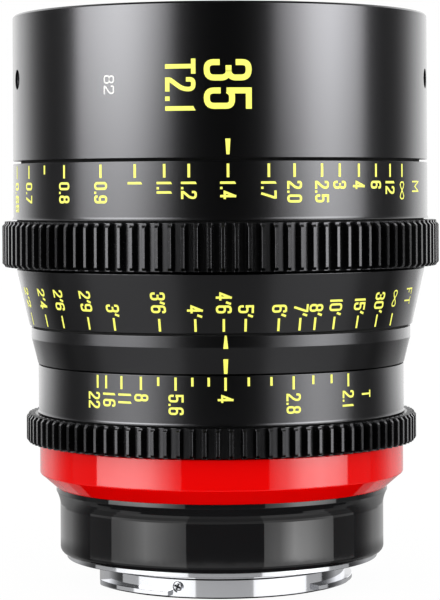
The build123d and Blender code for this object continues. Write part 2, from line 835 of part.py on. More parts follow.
with BuildPart() as front_cell:
    revolve(
        section(
            (glass_3_lip, nose_z),
            (nose_radius, nose_z),
            (nose_radius, cell_seat_z - pilot_length),
            (cell_pilot_radius, cell_seat_z - pilot_length),
            (cell_pilot_radius, cell_seat_z),
            (sleeve_bore, cell_seat_z),
            (sleeve_bore, skirt_z),
            (skirt_radius, skirt_z),
            (skirt_radius, cell_shoulder_z),
            (cell_radius, cell_shoulder_z),
            (cell_radius, cell_top_z),
            (cell_cone_radius, cell_top_z),
            (glass_1_radius + seat_fit, cell_cone_z),
            (glass_1_radius + seat_fit, glass_1_seat_z),
            (spacer_12_outer + seat_fit, glass_1_seat_z),
            (spacer_12_outer + seat_fit, spacer_12_z),
            (glass_2_radius + seat_fit, spacer_12_z),
            (glass_2_radius + seat_fit, spacer_23_z),
            (glass_3_radius + seat_fit, spacer_23_z),
            (glass_3_radius + seat_fit, glass_3_seat_z),
            (glass_3_lip, glass_3_seat_z),
        ),
        axis=Axis.Z,
    )
    screws(cell_places, *cell_screw, seat_fit, Mode.SUBTRACT)
    for angle in barrel_screw_angles:
        hole = outward(angle, barrel_screw_foot - seat_fit, barrel_screw_z)
        pegs([hole], barrel_screw_radius + seat_fit, barrel_screw_depth + cut_over, Mode.SUBTRACT)
front_cell.part.label = "front_cell"
export_step(front_cell.part, "parts/front_cell.step")

with BuildPart() as front_cell_screws:
    screws(cell_places, *cell_screw)
front_cell_screws.part.label = "front_cell_screws"
export_step(front_cell_screws.part, "parts/front_cell_screws.step")

# Threaded ring that holds the first glass, with two slots for a spanner
hold_ring_width = 1.6
hold_ring_height = 2.4
spanner_slot_width = 1.2
spanner_slot_depth = 0.8
hold_ring_inner = glass_1_radius - hold_ring_width
hold_ring_z = glass_1_z - sag(glass_1_front_curve, hold_ring_inner)
with BuildPart() as front_retaining_ring:
    revolve(
        section(
            (hold_ring_inner, hold_ring_z),
            (glass_1_radius, hold_ring_z),
            (glass_1_radius, hold_ring_z + hold_ring_height),
            (hold_ring_inner + edge_chamfer, hold_ring_z + hold_ring_height),
            (hold_ring_inner, hold_ring_z + hold_ring_height - edge_chamfer),
        ),
        axis=Axis.Z,
    )
    with BuildSketch(Plane.XY.offset(hold_ring_z + hold_ring_height)):
        Rectangle(2 * (glass_1_radius + cut_over), spanner_slot_width)
    extrude(amount=-spanner_slot_depth, mode=Mode.SUBTRACT)
front_retaining_ring.part.label = "front_retaining_ring"
export_step(front_retaining_ring.part, "parts/front_retaining_ring.step")

# Front trim ring: the sloped face round the first glass
trim_height = 4.0
trim_edge = 0.65
trim_lip = 1.0
with BuildPart() as front_trim_ring:
    revolve(
        section(
            (cell_cone_radius, cell_top_z),
            (cell_radius, cell_top_z),
            (cell_radius, cell_top_z + trim_height),
            (cell_radius - trim_edge, cell_top_z + trim_height),
            (cell_cone_radius, cell_top_z + trim_lip),
        ),
        axis=Axis.Z,
    )
front_trim_ring.part.label = "front_trim_ring"
export_step(front_trim_ring.part, "parts/front_trim_ring.step")

# Front barrel with the filter thread's bore
filter_depth = 5.0
filter_chamfer = 0.4
thread_relief = 0.4
thread_relief_length = 0.7
with BuildPart() as front_barrel:
    revolve(
        section(
            (skirt_radius + slide_fit, front_z),
            (barrel_radius - edge_chamfer, front_z),
            (barrel_radius, front_z + edge_chamfer),
            (barrel_radius, rim_z - filter_chamfer),
            (barrel_radius - filter_chamfer, rim_z),
            (filter_radius + filter_chamfer, rim_z),
            (filter_radius, rim_z - filter_chamfer),
            (filter_radius, rim_z - filter_depth),
            (filter_radius + thread_relief, rim_z - filter_depth),
            (filter_radius + thread_relief, rim_z - filter_depth - thread_relief_length),
            (cell_radius + slide_fit, rim_z - filter_depth - thread_relief_length),
            (cell_radius + slide_fit, cell_shoulder_z),
            (skirt_radius + slide_fit, cell_shoulder_z),
        ),
        axis=Axis.Z,
    )
    for angle in barrel_screw_angles:
        hole = outward(angle, cell_radius - cut_over, barrel_screw_z)
        through = barrel_radius - cell_radius + 2 * cut_over
        pegs([hole], barrel_screw_radius + seat_fit, through, Mode.SUBTRACT)
front_barrel.part.label = "front_barrel"
export_step(front_barrel.part, "parts/front_barrel.step")

with BuildPart() as front_barrel_screws:
    for angle in barrel_screw_angles:
        length = barrel_radius - barrel_screw_sink - barrel_screw_foot
        pegs([outward(angle, barrel_screw_foot, barrel_screw_z)], barrel_screw_radius, length)
front_barrel_screws.part.label = "front_barrel_screws"
export_step(front_barrel_screws.part, "parts/front_barrel_screws.step")

# Middle cell: cemented pair of glasses behind the fixed group
carriage_gap = 0.8
middle_inset = 2.5
middle_lip = 3.9
middle_ring_width = 1.2
middle_ring_height = 2.2
middle_bore_depth = 3.5
middle_mouth = 2.5
middle_foot_flare = 2.2
middle_top_z = nose_z - near_rise - carriage_gap
glass_4_z = middle_top_z - middle_inset
glass_4_rear_z = glass_4_z - glass_4_thickness
glass_5_z = glass_4_rear_z - cement_gap
glass_5_seat_z = glass_5_z - glass_5_thickness - sag(glass_5_rear_curve, glass_4_radius)
glass_4_lip = glass_4_radius - middle_ring_width
middle_z = glass_5_seat_z - middle_lip
cell_fit_radius = carriage_bore - slide_fit

with BuildPart() as lens_element_4:
    revolve(
        glass_section(glass_4_z, glass_4_thickness, glass_4_front_curve, glass_4_rear_curve, glass_4_radius),
        axis=Axis.Z,
    )
lens_element_4.part.label = "lens_element_4"
export_step(lens_element_4.part, "parts/lens_element_4.step")

with BuildPart() as lens_element_5:
    revolve(
        glass_section(glass_5_z, glass_5_thickness, glass_4_rear_curve, glass_5_rear_curve, glass_4_radius),
        axis=Axis.Z,
    )
lens_element_5.part.label = "lens_element_5"
export_step(lens_element_5.part, "parts/lens_element_5.step")

with BuildPart() as middle_cell:
    revolve(
        section(
            (glass_4_lip + middle_foot_flare, middle_z),
            (cell_fit_radius, middle_z),
            (cell_fit_radius, middle_top_z),
            (glass_4_radius + middle_mouth, middle_top_z),
            (glass_4_radius + seat_fit, middle_top_z - middle_bore_depth),
            (glass_4_radius + seat_fit, glass_5_seat_z),
            (glass_4_lip, glass_5_seat_z),
        ),
        axis=Axis.Z,
    )
middle_cell.part.label = "middle_cell"
export_step(middle_cell.part, "parts/middle_cell.step")

middle_ring_z = glass_4_z - sag(glass_4_front_curve, glass_4_lip)
with BuildPart() as middle_lock_ring:
    with BuildSketch(Plane.XY.offset(middle_ring_z)):
        Circle(glass_4_radius)
        Circle(glass_4_lip, mode=Mode.SUBTRACT)
    extrude(amount=middle_ring_height)
middle_lock_ring.part.label = "middle_lock_ring"
export_step(middle_lock_ring.part, "parts/middle_lock_ring.step")

# Iris: blades on stepped levels between a base plate and a slotted rotor
blade_count = 11
blade_thickness = 0.1
blade_pitch = 0.14  # from one blade's level to the next
blade_pivot_radius = 18.5
blade_inner = 11.5
blade_outer = 17.3
blade_reach = 115.0  # angle from a blade's pivot to its tip
blade_start = 7.0  # angle where the outer edge leaves the pivot's head
blade_head = 1.4
blade_heel = 2.5
blade_tail = 8.0
blade_tail_half = 1.0
pivot_stud = 0.5
drive_stud = 0.35
stud_fit = 0.05
bulkhead_thickness = 2.0
bulkhead_bore = 20.5
iris_window = 13.0
plate_thickness = 1.2
plate_gap = 0.1
rotor_gap = 0.3
rotor_thickness = 0.8
rotor_play = 0.1
rotor_radius = 25.2
rotor_slot_gap = 0.07
retainer_width = 2.55
retainer_thickness = 0.9
bulkhead_z = middle_z - bulkhead_thickness
plate_z = bulkhead_z - plate_thickness
stack_thickness = (blade_count - 1) * blade_pitch + blade_thickness
stack_z = plate_z - plate_gap - stack_thickness
rotor_top_z = stack_z - rotor_gap
rotor_z = rotor_top_z - rotor_thickness
retainer_top_z = rotor_z - rotor_play
retainer_z = retainer_top_z - retainer_thickness
retainer_inner = cell_fit_radius - retainer_width
blade_ratio = blade_swing / (iris_open + iris_close)
blade_rest = blade_ratio * iris_open
plate_screw_count = 3
plate_screw_ring = 23.4
plate_screw_start = 16.0
plate_screw_head = 1.15
plate_screw_radius = 0.65
plate_screw_length = 2.9
plate_screw = (plate_screw_head, plate_screw_radius, plate_screw_length)
plate_places = rear_places(plate_screw_ring, plate_z + screw_sink, plate_screw_count, plate_screw_start)

with BuildPart() as iris_base_plate:
    revolve(
        section(
            (iris_window, plate_z),
            (iris_window, bulkhead_z),
            (cell_fit_radius, bulkhead_z),
            (cell_fit_radius, retainer_top_z),
            (rotor_radius + slide_fit, retainer_top_z),
            (rotor_radius + slide_fit, plate_z),
        ),
        axis=Axis.Z,
    )
    pegs(
        rear_places(blade_pivot_radius, plate_z - cut_over, blade_count, -index_angle),
        pivot_stud + stud_fit,
        plate_thickness + 2 * cut_over,
        Mode.SUBTRACT,
    )
    screws(plate_places, *plate_screw, seat_fit, Mode.SUBTRACT)
iris_base_plate.part.label = "iris_base_plate"
export_step(iris_base_plate.part, "parts/iris_base_plate.step")

with BuildPart() as iris_plate_screws:
    screws(plate_places, *plate_screw)
iris_plate_screws.part.label = "iris_plate_screws"
export_step(iris_plate_screws.part, "parts/iris_plate_screws.step")

with BuildPart() as iris_retainer:
    with BuildSketch(Plane.XY.offset(retainer_z)):
        Circle(cell_fit_radius)
        Circle(retainer_inner, mode=Mode.SUBTRACT)
    extrude(amount=retainer_thickness)
iris_retainer.part.label = "iris_retainer"
export_step(iris_retainer.part, "parts/iris_retainer.step")


def blade_point(radius, angle):
    turn = radians(angle)
    return (radius * cos(turn) - blade_pivot_radius, radius * sin(turn))


def blade_outline():
    middle = (blade_inner + blade_outer) / 2
    half = (blade_outer - blade_inner) / 2
    tip = radians(blade_reach)
    nose = (
        middle * cos(tip) - half * sin(tip) - blade_pivot_radius,
        middle * sin(tip) + half * cos(tip),
    )
    slant = blade_head * sqrt(0.5)
    with BuildSketch() as shape:
        with BuildLine():
            tail = -blade_tail
            ThreePointArc((blade_tail_half, tail), (0, tail - blade_tail_half), (-blade_tail_half, tail))
            Line((-blade_tail_half, tail), (-blade_tail_half, -blade_heel))
            Line((-blade_tail_half, -blade_heel), blade_point(blade_inner, 0))
            ThreePointArc(
                blade_point(blade_inner, 0),
                blade_point(blade_inner, blade_reach / 2),
                blade_point(blade_inner, blade_reach),
            )
            ThreePointArc(blade_point(blade_inner, blade_reach), nose, blade_point(blade_outer, blade_reach))
            ThreePointArc(
                blade_point(blade_outer, blade_reach),
                blade_point(blade_outer, blade_reach / 2),
                blade_point(blade_outer, blade_start),
            )
            Line(blade_point(blade_outer, blade_start), (0, blade_head))
            ThreePointArc((0, blade_head), (slant, slant), (blade_head, 0))
            Line((blade_head, 0), (blade_tail_half, tail))
        make_face()
    return shape.sketch


for number in range(blade_count):
    around = 360 * number / blade_count
    turn = radians(around)
    swing = radians(around + blade_rest)
    level = stack_z + (blade_count - 1 - number) * blade_pitch
    pivot = (blade_pivot_radius * cos(turn), blade_pivot_radius * sin(turn), level)
    seat = Plane(pivot, x_dir=(cos(swing), sin(swing), 0), z_dir=(0, 0, 1))
    drive_low = rotor_z + plate_gap
    with BuildPart() as blade:
        with BuildSketch(seat):
            add(blade_outline())
        extrude(amount=blade_thickness)
        with BuildSketch(seat):
            Circle(pivot_stud)
        extrude(amount=bulkhead_z - plate_gap - level)
        with BuildSketch(seat.offset(blade_thickness)):
            with Locations((0, -blade_tail)):
                Circle(drive_stud)
        extrude(amount=drive_low - level - blade_thickness)
    name = f"iris_blade_{number + 1:02d}"
    blade.part.label = name
    export_step(blade.part, f"parts/{name}.step")

# Rotor: one curved slot for each blade's drive stud, and a fork for the iris pin
fork_inner = 22.9
fork_outer = 24.0
fork_half_angle = 6.4
fork_below = 3.5
fork_above = 3.0
slot_samples = 9
slot_half = drive_stud + rotor_slot_gap


def stud_place(ring_turn):
    swing = radians(blade_ratio * (ring_turn + iris_open))
    x = blade_pivot_radius + blade_tail * sin(swing)
    y = -blade_tail * cos(swing)
    turn = radians(-ring_turn)
    return Vector(x * cos(turn) - y * sin(turn), x * sin(turn) + y * cos(turn), 0)


def slot_outline():
    span = iris_open + iris_close
    nudge = span / slot_samples / 100
    left, right = [], []
    for number in range(slot_samples):
        ring_turn = -iris_open + span * number / (slot_samples - 1)
        spot = stud_place(ring_turn)
        along = (stud_place(ring_turn + nudge) - stud_place(ring_turn - nudge)).normalized()
        side = Vector(-along.Y, along.X, 0) * slot_half
        left.append(spot + side)
        right.append(spot - side)
        if number == 0:
            first = spot - along * slot_half
    last = spot + along * slot_half
    with BuildSketch() as shape:
        with BuildLine():
            Spline(*left)
            ThreePointArc(left[-1], last, right[-1])
            Spline(*reversed(right))
            ThreePointArc(right[0], first, left[0])
        make_face()
    return shape.sketch


with BuildPart() as iris_rotor:
    with BuildSketch(Plane.XY.offset(rotor_z)):
        Circle(rotor_radius)
        Circle(iris_window, mode=Mode.SUBTRACT)
        with PolarLocations(0, blade_count):
            add(slot_outline(), mode=Mode.SUBTRACT)
    extrude(amount=rotor_thickness)
    add(
        sector(
            back_angle - fork_half_angle,
            2 * fork_half_angle,
            (fork_inner, iris_pin_z - fork_below),
            (fork_outer, iris_pin_z - fork_below),
            (fork_outer, rotor_z),
            (fork_inner, rotor_z),
        )
    )
    fork_slot_length = fork_below + fork_above + cut_over
    fork_slot_middle = iris_pin_z + fork_above - fork_slot_length / 2
    with BuildSketch(outward(back_angle, fork_inner - cut_over, fork_slot_middle)):
        SlotOverall(fork_slot_length, 2 * (iris_pin_radius + seat_fit))
    extrude(amount=fork_outer - fork_inner + 2 * cut_over, mode=Mode.SUBTRACT)
iris_rotor.part.label = "iris_rotor"
export_step(iris_rotor.part, "parts/iris_rotor.step")

with BuildPart() as iris_drive_pin:
    foot = fork_inner - iris_pin_gap
    length = iris_body_radius - iris_pin_sink - foot
    pegs([outward(back_angle, foot, iris_pin_z)], iris_pin_radius, length)
iris_drive_pin.part.label = "iris_drive_pin"
export_step(iris_drive_pin.part, "parts/iris_drive_pin.step")

# Rear cell: a cemented pair in front, two single glasses behind
rear_cell_gap = 0.8
rear_ring_seat = 1.3
rear_ring_height = 1.1
rear_wall = 1.95
rear_wide_wall = 1.8
rear_step = 1.8
rear_flange_length = 5.5
rear_end = 1.4
rear_cone = 1.5
rear_cell_top_z = retainer_z - rear_cell_gap
glass_6_rim_z = rear_cell_top_z - rear_ring_seat
glass_6_z = glass_6_rim_z + sag(glass_6_front_curve, glass_6_radius)
glass_7_z = glass_6_z - glass_6_thickness - cement_gap
glass_7_lip = glass_6_radius - lip_width
glass_7_rear_z = glass_7_z - glass_7_thickness
glass_7_seat_z = glass_7_rear_z - sag(glass_7_rear_curve, glass_7_lip)
glass_8_z = glass_7_rear_z - gap_7_8
glass_8_lip = glass_8_radius - lip_width
glass_8_seat_z = glass_8_z - sag(glass_8_front_curve, glass_8_lip)
glass_8_rear_z = glass_8_z - glass_8_thickness
glass_8_hold_z = glass_8_rear_z - sag(glass_8_rear_curve, glass_8_lip)
glass_9_z = glass_8_rear_z - gap_8_9
glass_9_rim_z = glass_9_z - sag(glass_9_front_curve, glass_8_radius)
glass_9_hold_z = glass_9_z - glass_9_thickness - sag(glass_9_rear_curve, glass_8_radius)
rear_cell_z = glass_9_hold_z - rear_end
rear_flange_z = rear_cell_z + rear_step
rear_flange_top_z = rear_flange_z + rear_flange_length
rear_nose_radius = glass_6_radius + seat_fit + rear_wall
rear_wide_radius = glass_8_radius + seat_fit + rear_wide_wall

with BuildPart() as lens_element_6:
    revolve(
        glass_section(glass_6_z, glass_6_thickness, glass_6_front_curve, glass_6_rear_curve, glass_6_radius),
        axis=Axis.Z,
    )
lens_element_6.part.label = "lens_element_6"
export_step(lens_element_6.part, "parts/lens_element_6.step")

with BuildPart() as lens_element_7:
    revolve(
        glass_section(glass_7_z, glass_7_thickness, glass_6_rear_curve, glass_7_rear_curve, glass_6_radius),
        axis=Axis.Z,
    )
lens_element_7.part.label = "lens_element_7"
export_step(lens_element_7.part, "parts/lens_element_7.step")

with BuildPart() as lens_element_8:
    revolve(
        glass_section(glass_8_z, glass_8_thickness, glass_8_front_curve, glass_8_rear_curve, glass_8_radius),
        axis=Axis.Z,
    )
lens_element_8.part.label = "lens_element_8"
export_step(lens_element_8.part, "parts/lens_element_8.step")

with BuildPart() as lens_element_9:
    revolve(
        glass_section(glass_9_z, glass_9_thickness, glass_9_front_curve, glass_9_rear_curve, glass_8_radius),
        axis=Axis.Z,
    )
lens_element_9.part.label = "lens_element_9"
export_step(lens_element_9.part, "parts/lens_element_9.step")

with BuildPart() as rear_cell:
    revolve(
        section(
            (glass_8_radius + seat_fit, rear_cell_z),
            (rear_wide_radius, rear_cell_z),
            (rear_wide_radius, rear_flange_z),
            (cell_fit_radius, rear_flange_z),
            (cell_fit_radius, rear_flange_top_z),
            (rear_wide_radius, rear_flange_top_z),
            (rear_wide_radius, glass_8_seat_z + rear_cone),
            (rear_nose_radius, glass_7_seat_z),
            (rear_nose_radius, rear_cell_top_z),
            (glass_6_radius + seat_fit, rear_cell_top_z),
            (glass_6_radius + seat_fit, glass_7_seat_z),
            (glass_7_lip, glass_7_seat_z),
            (glass_8_lip, glass_8_seat_z + rear_cone),
            (glass_8_lip, glass_8_seat_z),
            (glass_8_radius + seat_fit, glass_8_seat_z),
        ),
        axis=Axis.Z,
    )
rear_cell.part.label = "rear_cell"
export_step(rear_cell.part, "parts/rear_cell.step")

with BuildPart() as rear_cell_front_ring:
    with BuildSketch(Plane.XY.offset(glass_6_rim_z)):
        Circle(glass_6_radius)
        Circle(glass_7_lip, mode=Mode.SUBTRACT)
    extrude(amount=rear_ring_height)
rear_cell_front_ring.part.label = "rear_cell_front_ring"
export_step(rear_cell_front_ring.part, "parts/rear_cell_front_ring.step")

with BuildPart() as rear_cell_spacer:
    with BuildSketch(Plane.XY.offset(glass_9_rim_z)):
        Circle(glass_8_radius)
        Circle(glass_8_lip, mode=Mode.SUBTRACT)
    extrude(amount=glass_8_hold_z - glass_9_rim_z)
rear_cell_spacer.part.label = "rear_cell_spacer"
export_step(rear_cell_spacer.part, "parts/rear_cell_spacer.step")

with BuildPart() as rear_cell_lock_ring:
    with BuildSketch(Plane.XY.offset(glass_9_hold_z)):
        Circle(glass_8_radius)
        Circle(glass_8_lip, mode=Mode.SUBTRACT)
    extrude(amount=-rear_ring_height)
rear_cell_lock_ring.part.label = "rear_cell_lock_ring"
export_step(rear_cell_lock_ring.part, "parts/rear_cell_lock_ring.step")

# Carriage: the sliding tube that carries the moving glass and the iris
carriage_over = 1.0
carriage_under = 0.5
roller_screw_radius = 1.0
roller_screw_head = 1.85
roller_head_height = 1.2
carriage_top_z = middle_top_z + carriage_over
carriage_z = rear_flange_z - carriage_under
carriage_slot_half = iris_pin_radius + near_rise + iris_pin_gap
with BuildPart() as carriage:
    revolve(
        section(
            (carriage_bore, carriage_z),
            (carriage_radius, carriage_z),
            (carriage_radius, carriage_top_z),
            (carriage_bore, carriage_top_z),
            (carriage_bore, middle_z),
            (bulkhead_bore, middle_z),
            (bulkhead_bore, bulkhead_z),
            (carriage_bore, bulkhead_z),
        ),
        axis=Axis.Z,
    )
    add(
        sector(
            iris_slot_start,
            iris_slot_arc,
            (carriage_bore - cut_over, iris_pin_z - carriage_slot_half),
            (carriage_radius + cut_over, iris_pin_z - carriage_slot_half),
            (carriage_radius + cut_over, iris_pin_z + carriage_slot_half),
            (carriage_bore - cut_over, iris_pin_z + carriage_slot_half),
        ),
        mode=Mode.SUBTRACT,
    )
    screws(plate_places, *plate_screw, seat_fit, Mode.SUBTRACT)
    for angle in roller_angles:
        hole = outward(angle, carriage_bore - seat_fit, roller_z)
        pegs([hole], roller_screw_radius + seat_fit, carriage_wall + cut_over, Mode.SUBTRACT)
carriage.part.label = "carriage"
export_step(carriage.part, "parts/carriage.step")

with BuildPart() as cam_rollers:
    for angle in roller_angles:
        foot = outward(angle, carriage_radius + roller_slot_gap / 2, roller_z)
        pegs([foot], roller_radius, sleeve_radius - carriage_radius - roller_slot_gap)
        below = outward(angle, carriage_radius - cut_over, roller_z)
        pegs([below], roller_bore, sleeve_radius - carriage_radius + 2 * cut_over, Mode.SUBTRACT)
cam_rollers.part.label = "cam_rollers"
export_step(cam_rollers.part, "parts/cam_rollers.step")

with BuildPart() as roller_screws:
    for angle in roller_angles:
        foot = carriage_bore + seat_fit
        head = sleeve_radius + roller_slot_gap / 2
        pegs([outward(angle, foot, roller_z)], roller_screw_radius, head - foot)
        pegs([outward(angle, head, roller_z)], roller_screw_head, roller_head_height)
roller_screws.part.label = "roller_screws"
export_step(roller_screws.part, "parts/roller_screws.step")
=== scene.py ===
import bpy, bmesh, math
from mathutils import Matrix, Vector


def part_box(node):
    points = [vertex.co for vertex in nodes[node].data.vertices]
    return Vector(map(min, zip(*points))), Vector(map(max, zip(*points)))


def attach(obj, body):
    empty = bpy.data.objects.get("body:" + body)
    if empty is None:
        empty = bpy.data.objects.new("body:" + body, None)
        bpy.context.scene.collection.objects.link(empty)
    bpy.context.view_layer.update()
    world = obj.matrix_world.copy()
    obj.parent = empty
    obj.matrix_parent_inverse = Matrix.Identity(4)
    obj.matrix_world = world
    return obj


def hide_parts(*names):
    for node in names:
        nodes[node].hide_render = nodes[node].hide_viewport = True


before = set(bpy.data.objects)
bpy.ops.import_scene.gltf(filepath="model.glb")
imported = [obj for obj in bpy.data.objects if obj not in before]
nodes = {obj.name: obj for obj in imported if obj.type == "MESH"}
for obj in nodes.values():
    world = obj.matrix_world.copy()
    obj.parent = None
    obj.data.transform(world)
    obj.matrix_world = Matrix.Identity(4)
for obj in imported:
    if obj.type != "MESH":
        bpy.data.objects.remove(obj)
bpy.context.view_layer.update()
mm = 0.001
turnSides = 240  # faces round a turned ring
indexAngle = math.radians(-90)  # the index marks face -Y
crispDegrees = 40  # edges sharper than this stay crisp on a cut piece
facetDegrees = 26  # facets of the CAD meshes turn less than this, their edges more
overcut = 1.0  # mm that a cutter runs past a wall
print("frame loaded:", len(nodes), "nodes")


# ---- camera: long lens at the height of the distance scale, as in the photo
viewpoint = {
    "distanceMm": 487.5,
    "eyeMm": 79.5,
    "aroundDegrees": -2.24,
    "rollDegrees": -0.29,
    "focalMm": 141.9,
    "sensorMm": 36,
    "shiftX": -0.0005,
    "shiftY": -0.179,
}
cameraData = bpy.data.cameras.new("productCamera")
camera = bpy.data.objects.new("productCamera", cameraData)
bpy.context.scene.collection.objects.link(camera)
around = math.radians(viewpoint["aroundDegrees"])
reach = viewpoint["distanceMm"] * mm
facing = (
    Matrix.Rotation(around, 4, "Z")
    @ Matrix.Rotation(math.radians(90), 4, "X")
    @ Matrix.Rotation(math.radians(viewpoint["rollDegrees"]), 4, "Z")
)
spot = Vector((math.sin(around) * reach, -math.cos(around) * reach, viewpoint["eyeMm"] * mm))
camera.matrix_world = Matrix.Translation(spot) @ facing
cameraData.lens = viewpoint["focalMm"]
cameraData.sensor_width = viewpoint["sensorMm"]
cameraData.shift_x = viewpoint["shiftX"]
cameraData.shift_y = viewpoint["shiftY"]
bpy.context.scene.camera = camera
bpy.context.scene.view_settings.view_transform = "Standard"


# ---- small helpers
def fromHex(code):  # sRGB hex to the linear colour that a socket takes
    parts = [int(code[i:i + 2], 16) / 255 for i in (0, 2, 4)]
    return [c / 12.92 if c <= 0.04045 else ((c + 0.055) / 1.055) ** 2.4 for c in parts] + [1]


def addNode(tree, kind, settings=None, inputs=None):
    node = tree.nodes.new(kind)
    for name, value in (settings or {}).items():
        setattr(node, name, value)
    for name, value in (inputs or {}).items():
        if isinstance(value, bpy.types.NodeSocket):
            tree.links.new(value, node.inputs[name])
        else:
            node.inputs[name].default_value = value
    return node


def link(obj):
    bpy.context.scene.collection.objects.link(obj)
    return obj


def meshPiece(name, work):  # a finished bmesh becomes an object
    mesh = bpy.data.meshes.new(name)
    work.to_mesh(mesh)
    work.free()
    return link(bpy.data.objects.new(name, mesh))


def joinRows(work, rows, closed=False):
    # faces between neighbouring rows of points; an open run gets a cap at each end
    faces = [] if closed else [work.faces.new(rows[0]), work.faces.new(rows[-1])]
    for here, following in zip(rows, rows[1:] + (rows[:1] if closed else [])):
        for k in range(len(here)):
            n = (k + 1) % len(here)
            faces.append(work.faces.new((here[k], here[n], following[n], following[k])))
    return faces


def outwardPoint(degrees, radius, height):  # degrees from the index, towards +X, in mm
    angle = indexAngle + math.radians(degrees)
    return Vector((radius * mm * math.cos(angle), radius * mm * math.sin(angle), height * mm))


# ---- finishes
grainDepth = 0.1  # relief of a blasted surface as a share of its grain
ringDepthMm = 0.004  # relief of lathe marks


def makeFinish(name, sockets, look):
    # the tone drifts slowly; grainMm adds the soft grain of glass-bead blasting,
    # ringMm the faint rings that the lathe leaves round the optical axis
    finish = bpy.data.materials.new(name)
    finish.use_nodes = True
    tree = finish.node_tree
    tree.nodes.clear()
    shader = addNode(tree, "ShaderNodeBsdfPrincipled", inputs=sockets)
    addNode(tree, "ShaderNodeOutputMaterial", inputs={"Surface": shader.outputs[0]})
    place = addNode(tree, "ShaderNodeTexCoord").outputs["Object"]
    cloud = addNode(tree, "ShaderNodeTexNoise", inputs={"Vector": place, "Scale": 1 / (look["cloudMm"] * mm)})
    tone = addNode(tree, "ShaderNodeMix", {"data_type": "RGBA"}, {
        "Factor": cloud.outputs["Fac"], 6: fromHex(look["colour"]), 7: fromHex(look["drift"]),
    })
    tree.links.new(tone.outputs[2], shader.inputs["Base Color"])
    sheen, relief, depth = cloud, None, 0
    if "grainMm" in look:
        sheen = relief = addNode(tree, "ShaderNodeTexNoise", inputs={
            "Vector": place, "Scale": 1 / (look["grainMm"] * mm), "Detail": 3.0,
        })
        depth = look["grainMm"] * mm * grainDepth
    if "ringMm" in look:
        relief = addNode(tree, "ShaderNodeTexWave", {"wave_type": "RINGS", "rings_direction": "Z"}, {
            "Vector": place, "Scale": 2 * math.pi / (20 * look["ringMm"] * mm),  # scale 1 turns 20 radians per metre
            "Distortion": 0.6, "Detail": 1.0,
        })
        depth = ringDepthMm * mm
    rough = addNode(tree, "ShaderNodeMapRange", inputs={
        "Value": sheen.outputs["Fac"],
        "To Min": look["roughness"] - look["spread"], "To Max": look["roughness"] + look["spread"],
    })
    tree.links.new(rough.outputs[0], shader.inputs["Roughness"])
    if relief:
        bump = addNode(tree, "ShaderNodeBump", inputs={
            "Height": relief.outputs["Fac"], "Strength": look["bump"], "Distance": depth,
        })
        tree.links.new(bump.outputs[0], shader.inputs["Normal"])
    return finish


# black anodised aluminium, finely blasted: dark, with a soft sheen
blackAnodised = makeFinish("blackAnodisedAluminium", {"Metallic": 1.0}, {
    "colour": "4B4B4C", "drift": "48484A", "cloudMm": 22,
    "roughness": 0.22, "spread": 0.03, "grainMm": 0.3, "bump": 0.1,
})
# gear teeth are milled after blasting, then anodised: the sheen is a little broader than on the rings
toothAnodised = makeFinish("milledBlackAnodisedTeeth", {"Metallic": 1.0}, {
    "colour": "4A4A4B", "drift": "424244", "cloudMm": 9,
    "roughness": 0.26, "spread": 0.04, "grainMm": 0.4, "bump": 0.15,
})
# red dye in the oxide layer scatters the colour back, and the sealed layer gives a clear gloss
redAnodised = makeFinish("redAnodisedAluminium", {"Specular IOR Level": 0.55}, {
    "colour": "E40302", "drift": "DE0202", "cloudMm": 18,
    "roughness": 0.05, "spread": 0.01, "grainMm": 0.3, "bump": 0.01,
})
# gloss black lacquer on the rear barrel: an almost clean mirror of the softboxes
glossLacquer = makeFinish("glossBlackLacquer", {}, {
    "colour": "151516", "drift": "131314", "cloudMm": 30,
    "roughness": 0.03, "spread": 0.005, "grainMm": 1.6, "bump": 0.005,
})
# light-trap paint inside the lens: deep matt black with a powdery grain; the same paint is also laid as painted shade
# in the grooves, the seam under the focus ring and the screw recesses
lightTrapAndShade = makeFinish("mattLightTrapPaint", {"Specular IOR Level": 0.25}, {
    "colour": "0B0B0B", "drift": "080808", "cloudMm": 10,
    "roughness": 0.75, "spread": 0.1, "grainMm": 0.5, "bump": 0.5,
})
# blackened spring steel of the iris blades: dull, with a weak broad sheen
bladeSteel = makeFinish("blackenedSpringSteel", {"Metallic": 1.0}, {
    "colour": "2C2C30", "drift": "26262A", "cloudMm": 12,
    "roughness": 0.42, "spread": 0.05, "grainMm": 0.4, "bump": 0.1,
})
# hard chrome on the turned brass bayonet: bright, with fine lathe rings
bayonetChrome = makeFinish("hardChromeOnBrass", {"Metallic": 1.0}, {
    "colour": "D6D7DA", "drift": "CBCCD0", "cloudMm": 14,
    "roughness": 0.08, "spread": 0.01, "ringMm": 0.4, "bump": 0.1,
})
# turned and black anodised inner parts: dull black, the lathe rings still show
innerAnodised = makeFinish("turnedBlackAnodised", {"Metallic": 0.3, "Specular IOR Level": 0.4}, {
    "colour": "1B1B1C", "drift": "161617", "cloudMm": 16,
    "roughness": 0.48, "spread": 0.06, "ringMm": 0.5, "bump": 0.4,
})
# bare stainless steel of screws, shim and pin: light grey and satin
bareSteel = makeFinish("turnedStainlessSteel", {"Metallic": 1.0}, {
    "colour": "B4B5B8", "drift": "A6A7AA", "cloudMm": 6,
    "roughness": 0.26, "spread": 0.05, "ringMm": 0.3, "bump": 0.2,
})
# screws in black oxide: dark with a blue-grey glint on the edges
blackOxide = makeFinish("blackOxideSteel", {"Metallic": 1.0}, {
    "colour": "3A3B3F", "drift": "303135", "cloudMm": 3,
    "roughness": 0.34, "spread": 0.05, "grainMm": 0.3, "bump": 0.1,
})
# free-cutting brass of the cam sleeve: yellow and satin
camBrass = makeFinish("turnedBrass", {"Metallic": 1.0}, {
    "colour": "C9A45A", "drift": "BE9850", "cloudMm": 9,
    "roughness": 0.3, "spread": 0.05, "ringMm": 0.4, "bump": 0.3,
})
